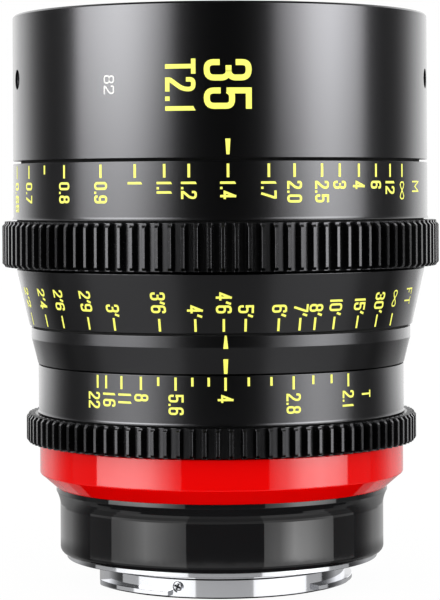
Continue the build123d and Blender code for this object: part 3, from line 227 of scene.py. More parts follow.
# moulded acetal washers and rollers: off-white, waxy
acetal = makeFinish("mouldedAcetal", {"Specular IOR Level": 0.4}, {
    "colour": "DAD8CF", "drift": "D0CEC4", "cloudMm": 8,
    "roughness": 0.4, "spread": 0.05, "grainMm": 0.4, "bump": 0.1,
})
# enamel wiped into the engraving: opaque, slightly uneven, satin
yellowEnamel = makeFinish("yellowEngravingEnamel", {}, {
    "colour": "FEFE66", "drift": "FAFA5E", "cloudMm": 1.2, "roughness": 0.5, "spread": 0.05,
})
whiteEnamel = makeFinish("whiteEngravingEnamel", {}, {
    "colour": "EDEDEA", "drift": "E4E4E0", "cloudMm": 1.2, "roughness": 0.5, "spread": 0.05,
})
# polished optical glass: the thin film is the anti-reflection coating and tints what it mirrors
coatedGlass = makeFinish("coatedCrownGlass", {
    "Transmission Weight": 1.0, "IOR": 1.52, "Thin Film Thickness": 130.0, "Thin Film IOR": 1.38,
}, {"colour": "FBFDFF", "drift": "F6FAFF", "cloudMm": 20, "roughness": 0.01, "spread": 0.01})
denseGlass = makeFinish("coatedFlintGlass", {
    "Transmission Weight": 1.0, "IOR": 1.7, "Thin Film Thickness": 290.0, "Thin Film IOR": 1.42,
}, {"colour": "FDFCF4", "drift": "FBF9EE", "cloudMm": 20, "roughness": 0.01, "spread": 0.01})
print("finishes made")

nodeFinishes = (
    (bareSteel, "mount_shim mount_screws baffle_screws roller_screws iris_drive_pin"),
    (blackOxide, "collar_screws front_cell_screws front_barrel_screws cam_sleeve_screws iris_plate_screws"),
    (acetal, "rear_thrust_washer front_thrust_washer cam_rollers"),
    (innerAnodised, "main_barrel front_cell carriage middle_cell rear_cell iris_base_plate iris_retainer iris_rotor"),
    (lightTrapAndShade, "rear_baffle front_retaining_ring front_spacer second_spacer middle_lock_ring"),
    (lightTrapAndShade, "rear_cell_front_ring rear_cell_spacer rear_cell_lock_ring"),
    (blackAnodised, "front_trim_ring index_collar focus_ring iris_ring front_barrel"),
    (coatedGlass, "lens_element_1 lens_element_3 lens_element_4 lens_element_6 lens_element_8 lens_element_9"),
    (denseGlass, "lens_element_2 lens_element_5 lens_element_7"),
    (camBrass, "cam_sleeve"), (bayonetChrome, "bayonet_mount"),
    (glossLacquer, "rear_barrel"), (redAnodised, "red_ring"),
)
finishOf = {name: finish for finish, names in nodeFinishes for name in names.split()}
for name, node in nodes.items():
    node.data.materials.clear()
    node.data.materials.append(bladeSteel if name.startswith("iris_blade") else finishOf[name])


# ---- turned rings
def cornerCurve(corner, before, after, radius, share, steps):
    # curve round a corner between its two neighbours, over no more than a share of each edge
    back, onward = before - corner, after - corner
    bite = min(radius, back.length * share, onward.length * share)
    back, onward = back.normalized() * bite, onward.normalized() * bite
    curve = [corner + back * (1 - k / steps) ** 2 + onward * (k / steps) ** 2 for k in range(steps + 1)]
    return curve, back, onward


def softenCorners(points, radius):
    soft = []
    share, steps = 0.35, 3
    past = 1.2  # a point just past each end of a curve keeps the flats flat
    for i, here in enumerate(points):
        corner, before, after = Vector(here), Vector(points[i - 1]), Vector(points[(i + 1) % len(points)])
        curve, back, onward = cornerCurve(corner, before, after, radius, share, steps)
        soft += [corner + back * past] + curve + [corner + onward * past]
    return soft


def turnRing(name, profile, edgeMm):
    # profile is the closed section as (radius, height) in mm
    points = softenCorners(profile, edgeMm)
    work = bmesh.new()
    rings = []
    for k in range(turnSides):
        angle = 2 * math.pi * k / turnSides
        rings.append([
            work.verts.new((p[0] * mm * math.cos(angle), p[0] * mm * math.sin(angle), p[1] * mm))
            for p in points
        ])
    joinRows(work, rings, closed=True)
    bmesh.ops.remove_doubles(work, verts=work.verts, dist=1e-7)
    bmesh.ops.recalc_face_normals(work, faces=work.faces)
    ring = meshPiece(name, work)
    ring.data.shade_smooth()
    return ring


def dress(piece, body, finish, slot, *replaced):
    piece.data.materials.clear()
    piece.data.materials.append(finish)
    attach(piece, body)
    if replaced:
        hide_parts(*replaced)


def low(node):  # a node's lower end in mm
    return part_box(node)[0].z / mm


def high(node):
    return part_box(node)[1].z / mm


def shadeEdges(mesh, degrees):
    mesh.shade_smooth()
    mesh.set_sharp_from_angle(angle=math.radians(degrees))


def flatten(piece):  # modifiers become plain mesh
    depsgraph = bpy.context.evaluated_depsgraph_get()
    mesh = bpy.data.meshes.new_from_object(piece.evaluated_get(depsgraph))
    piece.modifiers.clear()
    piece.data = mesh
    mesh.name = piece.name


def cutHoles(piece, cutters):
    for cutter in cutters:
        step = piece.modifiers.new("hole", "BOOLEAN")
        step.operation = "DIFFERENCE"
        step.solver = "EXACT"
        step.object = cutter
    flatten(piece)
    shadeEdges(piece.data, crispDegrees)
    for cutter in cutters:
        bpy.data.objects.remove(cutter)


def roundBar(name, radius, start, end, sides=32):
    # closed round bar from one point to another, in metres
    start, end = Vector(start), Vector(end)
    along = end - start
    work = bmesh.new()
    bmesh.ops.create_cone(
        work, cap_ends=True, segments=sides, radius1=radius, radius2=radius, depth=along.length,
        matrix=Matrix.Translation((start + end) / 2) @ along.to_track_quat("Z", "Y").to_matrix().to_4x4(),
    )
    return meshPiece(name, work)


def barAt(name, radiusMm, degrees, start, end, sides=32):
    # the same in mm, with start and end as (radius, height) at one angle round the lens
    return roundBar(name, radiusMm * mm, outwardPoint(degrees, *start), outwardPoint(degrees, *end), sides)


# front barrel: plain cylinder with a threaded mouth and three sunk screws
frontSizes = {
    "boreMm": 39.85, "threadRootMm": 41.0, "threadDepthMm": 5.0, "reliefMm": 0.7, "edgeMm": 0.07,
    "chamferMm": 0.4, "footBoreMm": 36.4, "shoulderMm": 1.9, "screwRiseMm": 16.3,
    "screwHoleMm": 2.0, "screwAngles": (-75.5, 75.5, 180.0), "gapShadeMm": 40.9, "gapShadeDropMm": 0.5, "gapShadeWallMm": 1.2,
}
s = frontSizes
frontLow, rim = low("front_barrel"), high("front_barrel")
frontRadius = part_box("front_barrel")[1].x / mm
threadEnd = rim - s["threadDepthMm"] - s["reliefMm"]
shoulder = frontLow + s["shoulderMm"]
frontBarrel = turnRing("frontBarrel", [
    (s["footBoreMm"], frontLow),
    (frontRadius, frontLow),
    (frontRadius, rim - s["chamferMm"]),
    (frontRadius - s["chamferMm"], rim),
    (s["threadRootMm"], rim),
    (s["threadRootMm"], threadEnd),
    (s["boreMm"], threadEnd),
    (s["boreMm"], shoulder),
    (s["footBoreMm"], shoulder),
], s["edgeMm"])
screwHeight = frontLow + s["screwRiseMm"]
cutHoles(frontBarrel, [
    barAt("screwHole", s["screwHoleMm"], a, (s["boreMm"] - overcut, screwHeight), (frontRadius + overcut, screwHeight))
    for a in s["screwAngles"]
])
dress(frontBarrel, "barrel", blackAnodised, "black_anodised", "front_barrel")

# grooves: cut into the ring above its teeth, each with a matt black bed that is painted shade, so it stays black
# between the satin rings
grooveSizes = {
    "deepMm": 0.8, "stepMm": 0.02, "bedDeepMm": 0.75, "bedWallMm": 0.6, "bedEdgeMm": 0.03,
    "tuckMm": 0.1,  # the bed runs this far under the rings beside it
    "bend": 0.4,  # place of the bend in a flare, as a share of its width and length
}


# a matt black ring laid into a groove or seam as painted shade: the gap reads black whatever the light
def addPaintedShadeBed(name, body, radius, bottom, top, wall=grooveSizes["bedWallMm"]):
    bed = turnRing(name, [
        (radius - wall, bottom), (radius, bottom), (radius, top), (radius - wall, top),
    ], grooveSizes["bedEdgeMm"])
    dress(bed, body, lightTrapAndShade, "matte_black")


def aboveTeeth(s, teethHigh, ringHigh):
    # profile from the top of the teeth: groove, flare, scale cylinder and back to the bore
    g, foot = grooveSizes, teethHigh + s["grooveMm"]
    return [
        (s["bodyMm"] - g["deepMm"], teethHigh + g["stepMm"]),
        (s["bodyMm"] - g["deepMm"], foot - g["stepMm"]),
        (s["bodyMm"] + s["flareMm"], foot),
        (s["bodyMm"] + s["flareMm"] * g["bend"], foot + s["flareLongMm"] * g["bend"]),
        (s["bodyMm"], foot + s["flareLongMm"]),
        (s["bodyMm"], ringHigh),
        (s["boreMm"], ringHigh),
    ]


# painted-shade bed in the groove above a ring's teeth
def addTeethGrooveShade(name, body, s, teethHigh):
    g = grooveSizes
    addPaintedShadeBed(name, body, s["bodyMm"] - g["bedDeepMm"],
           teethHigh - g["tuckMm"], teethHigh + s["grooveMm"] + g["tuckMm"] / 2)


tuck = grooveSizes["tuckMm"]
s = frontSizes
# painted shade: a matt black ring in the gap under the front barrel
addPaintedShadeBed("frontGroove", "barrel", s["gapShadeMm"], frontLow - s["gapShadeDropMm"], frontLow + tuck, s["gapShadeWallMm"])

# teeth of both rings; the tips stay a hair inside the CAD's
gearSizes = {
    "moduleMm": 0.8, "depthModules": 2.25, "tipShyMm": 0.006,
    "rootHalf": 0.29, "tipHalf": 0.12,  # half a tooth's width as a share of the pitch
    "sinkMm": 0.15, "footLandMm": 0.2, "edgeMm": 0.035, "brokenAboveMm": 0.5,
}


def toothRadii(teeth):
    s = gearSizes
    tip = teeth * s["moduleMm"] / 2 + s["moduleMm"] - s["tipShyMm"]
    return tip, tip - s["depthModules"] * s["moduleMm"]


# focus ring: scale cylinder, toothed band, tapered skirt
focusSizes = {
    "boreMm": 36.8, "footMm": 39.25, "taperTopMm": 41.76, "taperRiseMm": 11.0, "skirtRiseMm": 11.4,
    "footGapMm": 0.12, "footOutMm": 0.03, "teethRiseMm": 12.0, "teethWidthMm": 9.2, "teeth": 110,
    "tuckInMm": 0.7, "bodyMm": 42.5, "flareMm": 0.25, "grooveMm": 0.42, "flareLongMm": 0.55, "edgeMm": 0.07,
}
s = focusSizes
focusLow, focusHigh = low("focus_ring"), high("focus_ring")
focusTip, focusRoot = toothRadii(s["teeth"])
focusTeethLow = focusLow + s["teethRiseMm"]
focusTeethHigh = focusTeethLow + s["teethWidthMm"]
focusFoot = focusLow + s["footGapMm"]
focusRing = turnRing("focusRing", [
    (s["boreMm"], focusFoot),
    (s["footMm"] + s["footOutMm"], focusFoot),
    (s["footMm"] + (s["taperTopMm"] - s["footMm"]) * s["skirtRiseMm"] / s["taperRiseMm"], focusLow + s["skirtRiseMm"]),
    (s["taperTopMm"] - s["tuckInMm"], focusTeethLow - tuck),
    (focusRoot, focusTeethLow),
    (focusRoot, focusTeethHigh),
] + aboveTeeth(s, focusTeethHigh, focusHigh), s["edgeMm"])
dress(focusRing, "focus", blackAnodised, "black_anodised", "focus_ring")
# painted shade in the groove above the focus teeth
addTeethGrooveShade("focusGroove", "focus", s, focusTeethHigh)

# fixed index collar, with a matt black bed in the seam under the focus ring as painted shade
collarSizes = {
    "boreMm": 33.5, "footMm": 37.6, "bandMm": 38.9, "bandLengthMm": 2.3, "gapMm": 0.1, "bedMm": 38.4, "edgeMm": 0.06,
}
s = collarSizes
collarLow, collarHigh = low("index_collar"), high("index_collar")
collarTop = collarHigh - s["gapMm"]
indexCollar = turnRing("indexCollar", [
    (s["boreMm"], collarLow),
    (s["footMm"], collarLow),
    (s["bandMm"], collarHigh - s["bandLengthMm"]),
    (s["bandMm"], collarTop),
    (s["boreMm"], collarTop),
], s["edgeMm"])
dress(indexCollar, "barrel", blackAnodised, "black_anodised", "index_collar")
# painted shade in the seam under the focus ring
addPaintedShadeBed("collarGroove", "barrel", s["bedMm"], collarTop - tuck, focusLow + tuck)

# iris ring: scale cylinder over a narrower toothed band
irisSizes = {
    "boreMm": 34.6, "bodyMm": 37.5, "teethWidthMm": 5.75, "flareMm": 0.2, "grooveMm": 0.32, "flareLongMm": 0.42,
    "teeth": 98, "teethLiftMm": 0.02, "edgeMm": 0.07,
}
s = irisSizes
irisLow, irisHigh = low("iris_ring"), high("iris_ring")
irisTip, irisRoot = toothRadii(s["teeth"])
irisTeethHigh = irisLow + s["teethWidthMm"]
irisRing = turnRing("irisRing", [
    (s["boreMm"], irisLow),
    (irisRoot, irisLow),
    (irisRoot, irisTeethHigh),
] + aboveTeeth(s, irisTeethHigh, irisHigh), s["edgeMm"])
dress(irisRing, "iris_ring", blackAnodised, "black_anodised", "iris_ring")
# painted shade in the groove above the iris teeth
addTeethGrooveShade("irisGroove", "iris_ring", s, irisTeethHigh)

# red ring with its sloped lower edge
redSizes = {"boreMm": 31.9, "footMm": 34.0, "bodyMm": 37.3, "chamferRiseMm": 2.9, "edgeMm": 0.2}
s = redSizes
redLow, redHigh = low("red_ring"), high("red_ring")
redRing = turnRing("redRing", [
    (s["boreMm"], redLow),
    (s["footMm"], redLow),
    (s["bodyMm"], redLow + s["chamferRiseMm"]),
    (s["bodyMm"], redHigh),
    (s["boreMm"], redHigh),
], s["edgeMm"])
dress(redRing, "barrel", redAnodised, "red_anodised", "red_ring")

# gloss rear barrel: rounded foot, flare under the red ring
rearSizes = {
    "boreMm": 29.1, "bodyMm": 33.2, "footRoundMm": 1.25, "flareMm": 0.8, "flareLengthMm": 3.8,
    "landMm": 0.85, "footGapMm": 0.4, "curveSteps": 6, "edgeMm": 0.05,
}
s = rearSizes
rearLow, rearHigh = low("rear_barrel"), high("rear_barrel")
rearFoot = rearLow + s["footGapMm"]  # the flange rim shows below it
shares = [k / s["curveSteps"] for k in range(s["curveSteps"] + 1)]
footTurns = [math.radians(-90 + 90 * t) for t in shares]
foot = [
    (s["bodyMm"] - s["footRoundMm"] * (1 - math.cos(turn)), rearFoot + s["footRoundMm"] * (1 + math.sin(turn)))
    for turn in footTurns
]
flare = [
    (s["bodyMm"] + s["flareMm"] * t * t, rearHigh - s["landMm"] - (s["flareLengthMm"] - s["landMm"]) * (1 - t))
    for t in shares
]
rearBarrel = turnRing("rearBarrel", [
    (s["boreMm"], rearFoot), *foot, *flare, (s["bodyMm"] + s["flareMm"], rearHigh), (s["boreMm"], rearHigh),
], s["edgeMm"])
dress(rearBarrel, "barrel", glossLacquer, "gloss_black", "rear_barrel")

# chromed bayonet: neck, datum ring, flange and pilot, three lugs, seats for its screws
mountSizes = {
    "throatMm": 23.0, "neckMm": 25.2, "stepMm": 25.7, "stepRiseMm": 3.7, "datumMm": 27.1, "flangeMm": 31.85,
    "datumRiseMm": 5.2, "reliefMm": 0.3, "shimRiseMm": 6.7, "pilotMm": 27.4, "pilotWallMm": 1.6,
    "pilotLongMm": 2.0, "breakMm": 0.25, "edgeMm": 0.08, "rimWallMm": 0.6, "rimLapMm": 0.02, "crispDegrees": 33,
    "lugs": ((-70.0, 44.0), (44.0, 60.0), (159.0, 60.0)),  # start and span in degrees
    "lugMm": 26.7, "lugLowMm": 0.4, "lugHighMm": 1.5, "lugFootMm": 0.02, "lugTopEdgeMm": 0.08,
    "lugStep": 3.0, "lugEndMm": 0.22, "lugEndSpan": 0.5,
    "baffleScrewAngles": (-22.8, 107.2, 222.2), "baffleScrewMm": 0.95, "baffleScrewRiseMm": 2.2,
    "baffleSeatMm": 0.73, "baffleSeatGapMm": 0.22, "baffleSeatTurn": 0.5,
    "mountScrews": 6, "mountScrewStart": 30.0, "mountScrewMm": 1.85, "mountScrewRingMm": 29.625,
    "mountSeatMm": 0.95, "mountSeatGapMm": 0.03, "lockHoleMm": 1.2, "lockHoleDepthMm": 1.0, "lockHoleAngle": 10.0,
}
s = mountSizes
datumFoot = s["datumRiseMm"] + s["reliefMm"]
pilotTop = s["shimRiseMm"] + s["pilotLongMm"]
rimTop = rearFoot + s["rimLapMm"]
bayonetMount = turnRing("bayonetMount", [
    (s["throatMm"], 0),
    (s["neckMm"] - s["breakMm"], 0),
    (s["neckMm"], s["breakMm"]),
    (s["neckMm"], s["stepRiseMm"]),
    (s["stepMm"], s["stepRiseMm"] + s["breakMm"]),
    (s["stepMm"], datumFoot),
    (s["datumMm"], datumFoot),
    (s["datumMm"], s["datumRiseMm"]),
    (s["flangeMm"], s["datumRiseMm"]),
    (s["flangeMm"], rimTop),
    (s["flangeMm"] - s["rimWallMm"], rimTop),
    (s["flangeMm"] - s["rimWallMm"], s["shimRiseMm"]),
    (s["pilotMm"], s["shimRiseMm"]),
    (s["pilotMm"], pilotTop),
    (s["pilotMm"] - s["pilotWallMm"], pilotTop),
    (s["throatMm"], s["shimRiseMm"] - s["reliefMm"]),
], s["edgeMm"])
mountScrewAngles = [s["mountScrewStart"] + 360 * k / s["mountScrews"] for k in range(s["mountScrews"])]
baffleRise, mountRing = s["baffleScrewRiseMm"], s["mountScrewRingMm"]
lockRing = (s["datumMm"] + s["flangeMm"]) / 2
cutHoles(bayonetMount, [
    barAt("screwSeat", s["baffleScrewMm"] + s["baffleSeatGapMm"], a + s["baffleSeatTurn"],
          (s["neckMm"] - s["baffleSeatMm"], baffleRise), (s["neckMm"] + overcut, baffleRise))
    for a in s["baffleScrewAngles"]
] + [
    barAt("screwSeat", s["mountScrewMm"] + s["mountSeatGapMm"], a,
          (mountRing, s["datumRiseMm"] - overcut), (mountRing, s["datumRiseMm"] + s["mountSeatMm"]))
    for a in mountScrewAngles
] + [
    barAt("lockHole", s["lockHoleMm"], s["lockHoleAngle"],
          (lockRing, s["datumRiseMm"] - overcut), (lockRing, s["datumRiseMm"] + s["lockHoleDepthMm"]))
])


def lugAngles(start, span, step, endSpan):
    # angles along a lug, with one more close to each end for its broken edge
    count = round(span / step)
    inner = [start + endSpan + (span - 2 * endSpan) * k / count for k in range(count + 1)]
    return [start] + inner + [start + span]


work = bmesh.new()
work.from_mesh(bayonetMount.data)
lugFoot = s["neckMm"] - s["breakMm"]
for start, span in s["lugs"]:
    angles = lugAngles(start, span, s["lugStep"], s["lugEndSpan"])
    rows = []
    for k, angle in enumerate(angles):
        back = s["lugEndMm"] if k in (0, len(angles) - 1) else 0.0
        rows.append([work.verts.new(outwardPoint(angle, radius, height)) for radius, height in (
            (lugFoot, s["lugLowMm"] + s["lugFootMm"]),
            (s["lugMm"] - s["breakMm"] - back, s["lugLowMm"]),
            (s["lugMm"] - back, s["lugLowMm"] + s["breakMm"]),
            (s["lugMm"] - back, s["lugHighMm"] - s["lugTopEdgeMm"]),
            (s["lugMm"] - s["lugTopEdgeMm"] - back, s["lugHighMm"]),
            (lugFoot, s["lugHighMm"]),
        )])
    bmesh.ops.recalc_face_normals(work, faces=joinRows(work, rows))
work.to_mesh(bayonetMount.data)
work.free()
shadeEdges(bayonetMount.data, s["crispDegrees"])
dress(bayonetMount, "barrel", bayonetChrome, "bayonet_chrome", "bayonet_mount")
print("turned rings made")


# ---- CAD shapes that only need their facets shaded smooth
def smoothCopy(node, name):
    mesh = nodes[node].data.copy()
    mesh.name = name
    work = bmesh.new()
    work.from_mesh(mesh)
    bmesh.ops.remove_doubles(work, verts=work.verts, dist=1e-6)
    work.to_mesh(mesh)
    work.free()
    shadeEdges(mesh, facetDegrees)
    return link(bpy.data.objects.new(name, mesh))


smoothed = {
    "front_cell": ("frontCell", "barrel", innerAnodised, "inner_black"),
    "front_trim_ring": ("frontTrimRing", "barrel", blackAnodised, "black_anodised"),
    "front_retaining_ring": ("frontRetainingRing", "barrel", lightTrapAndShade, "matte_black"),
    "rear_baffle": ("rearBaffle", "barrel", lightTrapAndShade, "matte_black"),
    "lens_element_1": ("frontGlass", "barrel", coatedGlass, "glass"),
    "lens_element_2": ("secondGlass", "barrel", denseGlass, "glass"),
    "lens_element_3": ("thirdGlass", "barrel", coatedGlass, "glass"),
    "lens_element_9": ("rearGlass", "carriage", coatedGlass, "glass"),
}
for node, (name, body, finish, slot) in smoothed.items():
    dress(smoothCopy(node, name), body, finish, slot, node)
print("smooth copies made")


# ---- repeats by geometry nodes
def startTree(name, sockets):
    # group with a geometry input and output, and named inputs as (name, socket type, default)
    tree = bpy.data.node_groups.new(name, "GeometryNodeTree")
    for way in ("INPUT", "OUTPUT"):
        tree.interface.new_socket("Geometry", in_out=way, socket_type="NodeSocketGeometry")
    for label, kind, default in sockets + [("Finish", "NodeSocketMaterial", None)]:
        socket = tree.interface.new_socket(label, in_out="INPUT", socket_type=kind)
        if default is not None:
            socket.default_value = default
    return tree, tree.nodes.new("NodeGroupInput")


def endTree(tree, groupIn, shape):
    # copies become real geometry in the tree's finish
    plain = addNode(tree, "GeometryNodeRealizeInstances", inputs={"Geometry": shape.outputs[0]})
    painted = addNode(tree, "GeometryNodeSetMaterial", inputs={
        "Geometry": plain.outputs[0], "Material": groupIn.outputs["Finish"],
    })
    addNode(tree, "NodeGroupOutput", inputs={0: painted.outputs[0]})


def runTree(piece, tree, values):
    step = piece.modifiers.new(tree.name, "NODES")
    step.node_group = tree
    for item in tree.interface.items_tree:
        if item.item_type == "SOCKET" and item.in_out == "INPUT" and item.name in values:
            step[item.identifier] = values[item.name]
    flatten(piece)
    return piece


def emptyPiece(name, points=()):
    mesh = bpy.data.meshes.new(name)
    mesh.from_pydata([tuple(p) for p in points], [], [])
    return link(bpy.data.objects.new(name, mesh))


# copies a part round a circle, its X axis pointing outwards
roundTree, groupIn = startTree("copiesRoundAxis", [
    ("Part", "NodeSocketObject", None),
    ("Count", "NodeSocketInt", 12),
])
circle = addNode(roundTree, "GeometryNodeMeshCircle", inputs={"Vertices": groupIn.outputs["Count"], "Radius": 1.0})
position = addNode(roundTree, "GeometryNodeInputPosition")
aim = addNode(roundTree, "FunctionNodeAlignRotationToVector", {"axis": "X", "pivot_axis": "Z"}, {
    "Vector": position.outputs[0],
})
part = addNode(roundTree, "GeometryNodeObjectInfo", inputs={"Object": groupIn.outputs["Part"]})
copies = addNode(roundTree, "GeometryNodeInstanceOnPoints", inputs={
    "Points": circle.outputs["Mesh"], "Instance": part.outputs["Geometry"], "Rotation": aim.outputs[0],
})
toAxis = addNode(roundTree, "ShaderNodeVectorMath", {"operation": "SCALE"}, {0: position.outputs[0], "Scale": -1.0})
moved = addNode(roundTree, "GeometryNodeTranslateInstances", inputs={
    "Instances": copies.outputs[0], "Translation": toAxis.outputs[0], "Local Space": False,
})
endTree(roundTree, groupIn, moved)


def toothBlock(name, gear):
    # one milled tooth on the +X side: a low land and a slope at both ends, edges broken
    pitch = 2 * math.pi / gear["teeth"]
    root, tip, end = gear["rootMm"], gear["tipMm"], gear["endMm"]
    rootHalf = root * pitch * gear["rootHalf"]
    tipHalf = tip * pitch * gear["tipHalf"]
    foot = root - gear["sinkMm"]  # runs a little into the ring
    lowLand, highLand = gear["lowMm"] + gear["footLandMm"], gear["highMm"] - gear["topLandMm"]
    work = bmesh.new()
    stations = []
    for height, back in (
        (gear["lowMm"], end), (lowLand, end), (lowLand + end, 0),
        (highLand - end, 0), (highLand, end), (gear["highMm"], end),
    ):
        half = tipHalf + (rootHalf - tipHalf) * back / (tip - root)
        stations.append([
            work.verts.new((radius * mm, side * mm, height * mm)) for radius, side in (
                (foot, -rootHalf), (tip - back, -half), (tip - back, half), (foot, rootHalf),
            )
        ])
    joinRows(work, stations)
    bmesh.ops.recalc_face_normals(work, faces=work.faces)
    edges = [e for e in work.edges if min(v.co.x for v in e.verts) > (root + gear["brokenAboveMm"]) * mm]
    bmesh.ops.bevel(work, geom=edges, offset=gear["edgeMm"] * mm, segments=1, affect="EDGES", profile=0.5)
    turn = Matrix.Rotation(math.radians(gear["aroundDeg"]), 3, "Z")
    bmesh.ops.rotate(work, cent=(0, 0, 0), matrix=turn, verts=work.verts)
    return meshPiece(name, work)


focusGear = {
    **gearSizes, "teeth": focusSizes["teeth"], "rootMm": focusRoot, "tipMm": focusTip,
    "lowMm": focusTeethLow, "highMm": focusTeethHigh,
    "aroundDeg": 0.0, "endMm": 0.5, "topLandMm": 0.4,
}
irisGear = {
    **gearSizes, "teeth": irisSizes["teeth"], "rootMm": irisRoot, "tipMm": irisTip,
    "lowMm": irisLow + irisSizes["teethLiftMm"], "highMm": irisTeethHigh,
    "aroundDeg": -1.4, "endMm": 0.4, "topLandMm": 0.25,
}
for name, gear, body in (("focusTeeth", focusGear, "focus"), ("irisTeeth", irisGear, "iris_ring")):
    tooth = toothBlock("oneTooth", gear)
    teeth = runTree(emptyPiece(name), roundTree, {"Part": tooth, "Count": gear["teeth"], "Finish": toothAnodised})
    bpy.data.objects.remove(tooth)
    dress(teeth, body, toothAnodised, "black_anodised")
print("gear teeth made")

# filter thread: one ridge of 0.75 mm pitch wound inside the rim
threadSizes = {"rootMm": 41.05, "ridgeMm": 0.42, "pitchMm": 0.75, "turns": 6, "startMm": 5.15, "pointsPerTurn": 160}
s = threadSizes
threadTree, groupIn = startTree("woundRidge", [
    ("Radius", "NodeSocketFloat", 0.04),
    ("Height", "NodeSocketFloat", 0.004),
    ("Turns", "NodeSocketFloat", 6.0),
    ("Points", "NodeSocketInt", 160),
    ("Ridge", "NodeSocketFloat", 0.0004),
    ("Start", "NodeSocketVector", (0, 0, 0)),
])
wind = addNode(threadTree, "GeometryNodeCurveSpiral", inputs={
    "Resolution": groupIn.outputs["Points"], "Rotations": groupIn.outputs["Turns"],
    "Start Radius": groupIn.outputs["Radius"], "End Radius": groupIn.outputs["Radius"],
    "Height": groupIn.outputs["Height"],
})
section = addNode(threadTree, "GeometryNodeCurvePrimitiveCircle", inputs={
    "Resolution": 4, "Radius": groupIn.outputs["Ridge"],
})
ridge = addNode(threadTree, "GeometryNodeCurveToMesh", inputs={
    "Curve": wind.outputs[0], "Profile Curve": section.outputs[0], "Fill Caps": True,
})
lifted = addNode(threadTree, "GeometryNodeTransform", inputs={
    "Geometry": ridge.outputs[0], "Translation": groupIn.outputs["Start"],
})
endTree(threadTree, groupIn, lifted)
filterThread = runTree(emptyPiece("filterThread"), threadTree, {
    "Radius": s["rootMm"] * mm, "Height": s["pitchMm"] * s["turns"] * mm, "Turns": float(s["turns"]),
    "Points": s["pointsPerTurn"], "Ridge": s["ridgeMm"] * mm, "Start": (0, 0, (rim - s["startMm"]) * mm),
    "Finish": blackAnodised,
})
dress(filterThread, "barrel", blackAnodised, "black_anodised")
print("filter thread made")

# screws: heads with a driving recess, placed on points that carry their outward direction
screwTree, groupIn = startTree("screwsOnPoints", [("Part", "NodeSocketObject", None)])
outwards = addNode(screwTree, "GeometryNodeInputNamedAttribute", {"data_type": "FLOAT_VECTOR"}, {"Name": "outward"})
aim = addNode(screwTree, "FunctionNodeAlignRotationToVector", {"axis": "Z"}, {"Vector": outwards.outputs[0]})
part = addNode(screwTree, "GeometryNodeObjectInfo", inputs={"Object": groupIn.outputs["Part"]})
spins = addNode(screwTree, "GeometryNodeInputNamedAttribute", {"data_type": "FLOAT"}, {"Name": "spin"})
turned = addNode(screwTree, "ShaderNodeCombineXYZ", inputs={"Z": spins.outputs[0]})
turnedBy = addNode(screwTree, "FunctionNodeEulerToRotation", inputs={0: turned.outputs[0]})
spun = addNode(screwTree, "FunctionNodeRotateRotation", {"rotation_space": "LOCAL"}, {
    0: aim.outputs[0], 1: turnedBy.outputs[0],
})
copies = addNode(screwTree, "GeometryNodeInstanceOnPoints", inputs={
    "Points": groupIn.outputs["Geometry"], "Instance": part.outputs["Geometry"], "Rotation": spun.outputs[0],
})
endTree(screwTree, groupIn, copies)

screwSizes = {
    "headSides": 28, "shankSides": 20, "hexSides": 6,
    "narrowing": 0.85,  # a cross recess at its bottom, as a share of its mouth
    "shankStart": 0.8,  # the shank starts inside the head, at this share of its depth
    "spinStep": 37,  # degrees from one screw's recess to the next
}


def addCone(work, sides, topMm, footMm, longMm, topHeightMm):
    # closed cone or cylinder that hangs down from a height
    bmesh.ops.create_cone(
        work, cap_ends=True, segments=sides, radius1=footMm * mm, radius2=topMm * mm, depth=longMm * mm,
        matrix=Matrix.Translation((0, 0, (topHeightMm - longMm / 2) * mm)),
    )


def screwPart(look):
    # top of the head at the origin facing +Z, with its recess, and the shank below
    work = bmesh.new()
    addCone(work, screwSizes["headSides"], look["headMm"], look["headFootMm"], look["headDeepMm"], 0)
    rim = [e for e in work.edges if all(v.co.z > -1e-7 for v in e.verts)]
    bmesh.ops.bevel(work, geom=rim, offset=look["edgeMm"] * mm, segments=2, affect="EDGES", profile=0.5)
    screw = meshPiece("screwPart", work)
    deep = look["recessDeepMm"]
    cutters = []
    if look["recess"] == "hex":
        mouth, bottom = (0, 0, overcut * mm), (0, 0, -deep * mm)
        cutters.append(roundBar("recess", look["recessMm"] * mm, bottom, mouth, screwSizes["hexSides"]))
    else:
        for turn in (0, 90):
            block = bmesh.new()
            bmesh.ops.create_cube(block, size=1.0, matrix=(
                Matrix.Rotation(math.radians(turn), 4, "Z")
                @ Matrix.Diagonal((look["recessMm"] * 2 * mm, look["slotMm"] * mm, deep * 2 * mm, 1))
            ))
            for vert in block.verts:
                if vert.co.z < 0:
                    vert.co.x, vert.co.y = vert.co.x * screwSizes["narrowing"], vert.co.y * screwSizes["narrowing"]
            cutters.append(meshPiece("recess", block))
    cutHoles(screw, cutters)
    shank = bmesh.new()
    shank.from_mesh(screw.data)
    start = look["headDeepMm"] * screwSizes["shankStart"]
    addCone(shank, screwSizes["shankSides"], look["shankMm"], look["shankMm"], look["longMm"] - start, -start)
    shank.to_mesh(screw.data)
    shank.free()
    screw.data.set_sharp_from_angle(angle=math.radians(crispDegrees))
    return screw


def placeScrews(name, look, places, finish, slot, replaced):
    # places are (point, outward direction) pairs
    piece = emptyPiece(name, [p for p, d in places])
    held = piece.data.attributes.new("outward", "FLOAT_VECTOR", "POINT")
    held.data.foreach_set("vector", [c for p, d in places for c in d])
    held = piece.data.attributes.new("spin", "FLOAT", "POINT")
    held.data.foreach_set("value", [
        math.radians(look["spin"] + screwSizes["spinStep"] * k) for k in range(len(places))
    ])
    screw = screwPart(look)
    runTree(piece, screwTree, {"Part": screw, "Finish": finish})
    bpy.data.objects.remove(screw)
    dress(piece, "barrel", finish, slot, replaced)


def radialPlaces(angles, radius, height):
    return [(outwardPoint(a, radius, height), outwardPoint(a, 1 / mm, 0)) for a in angles]


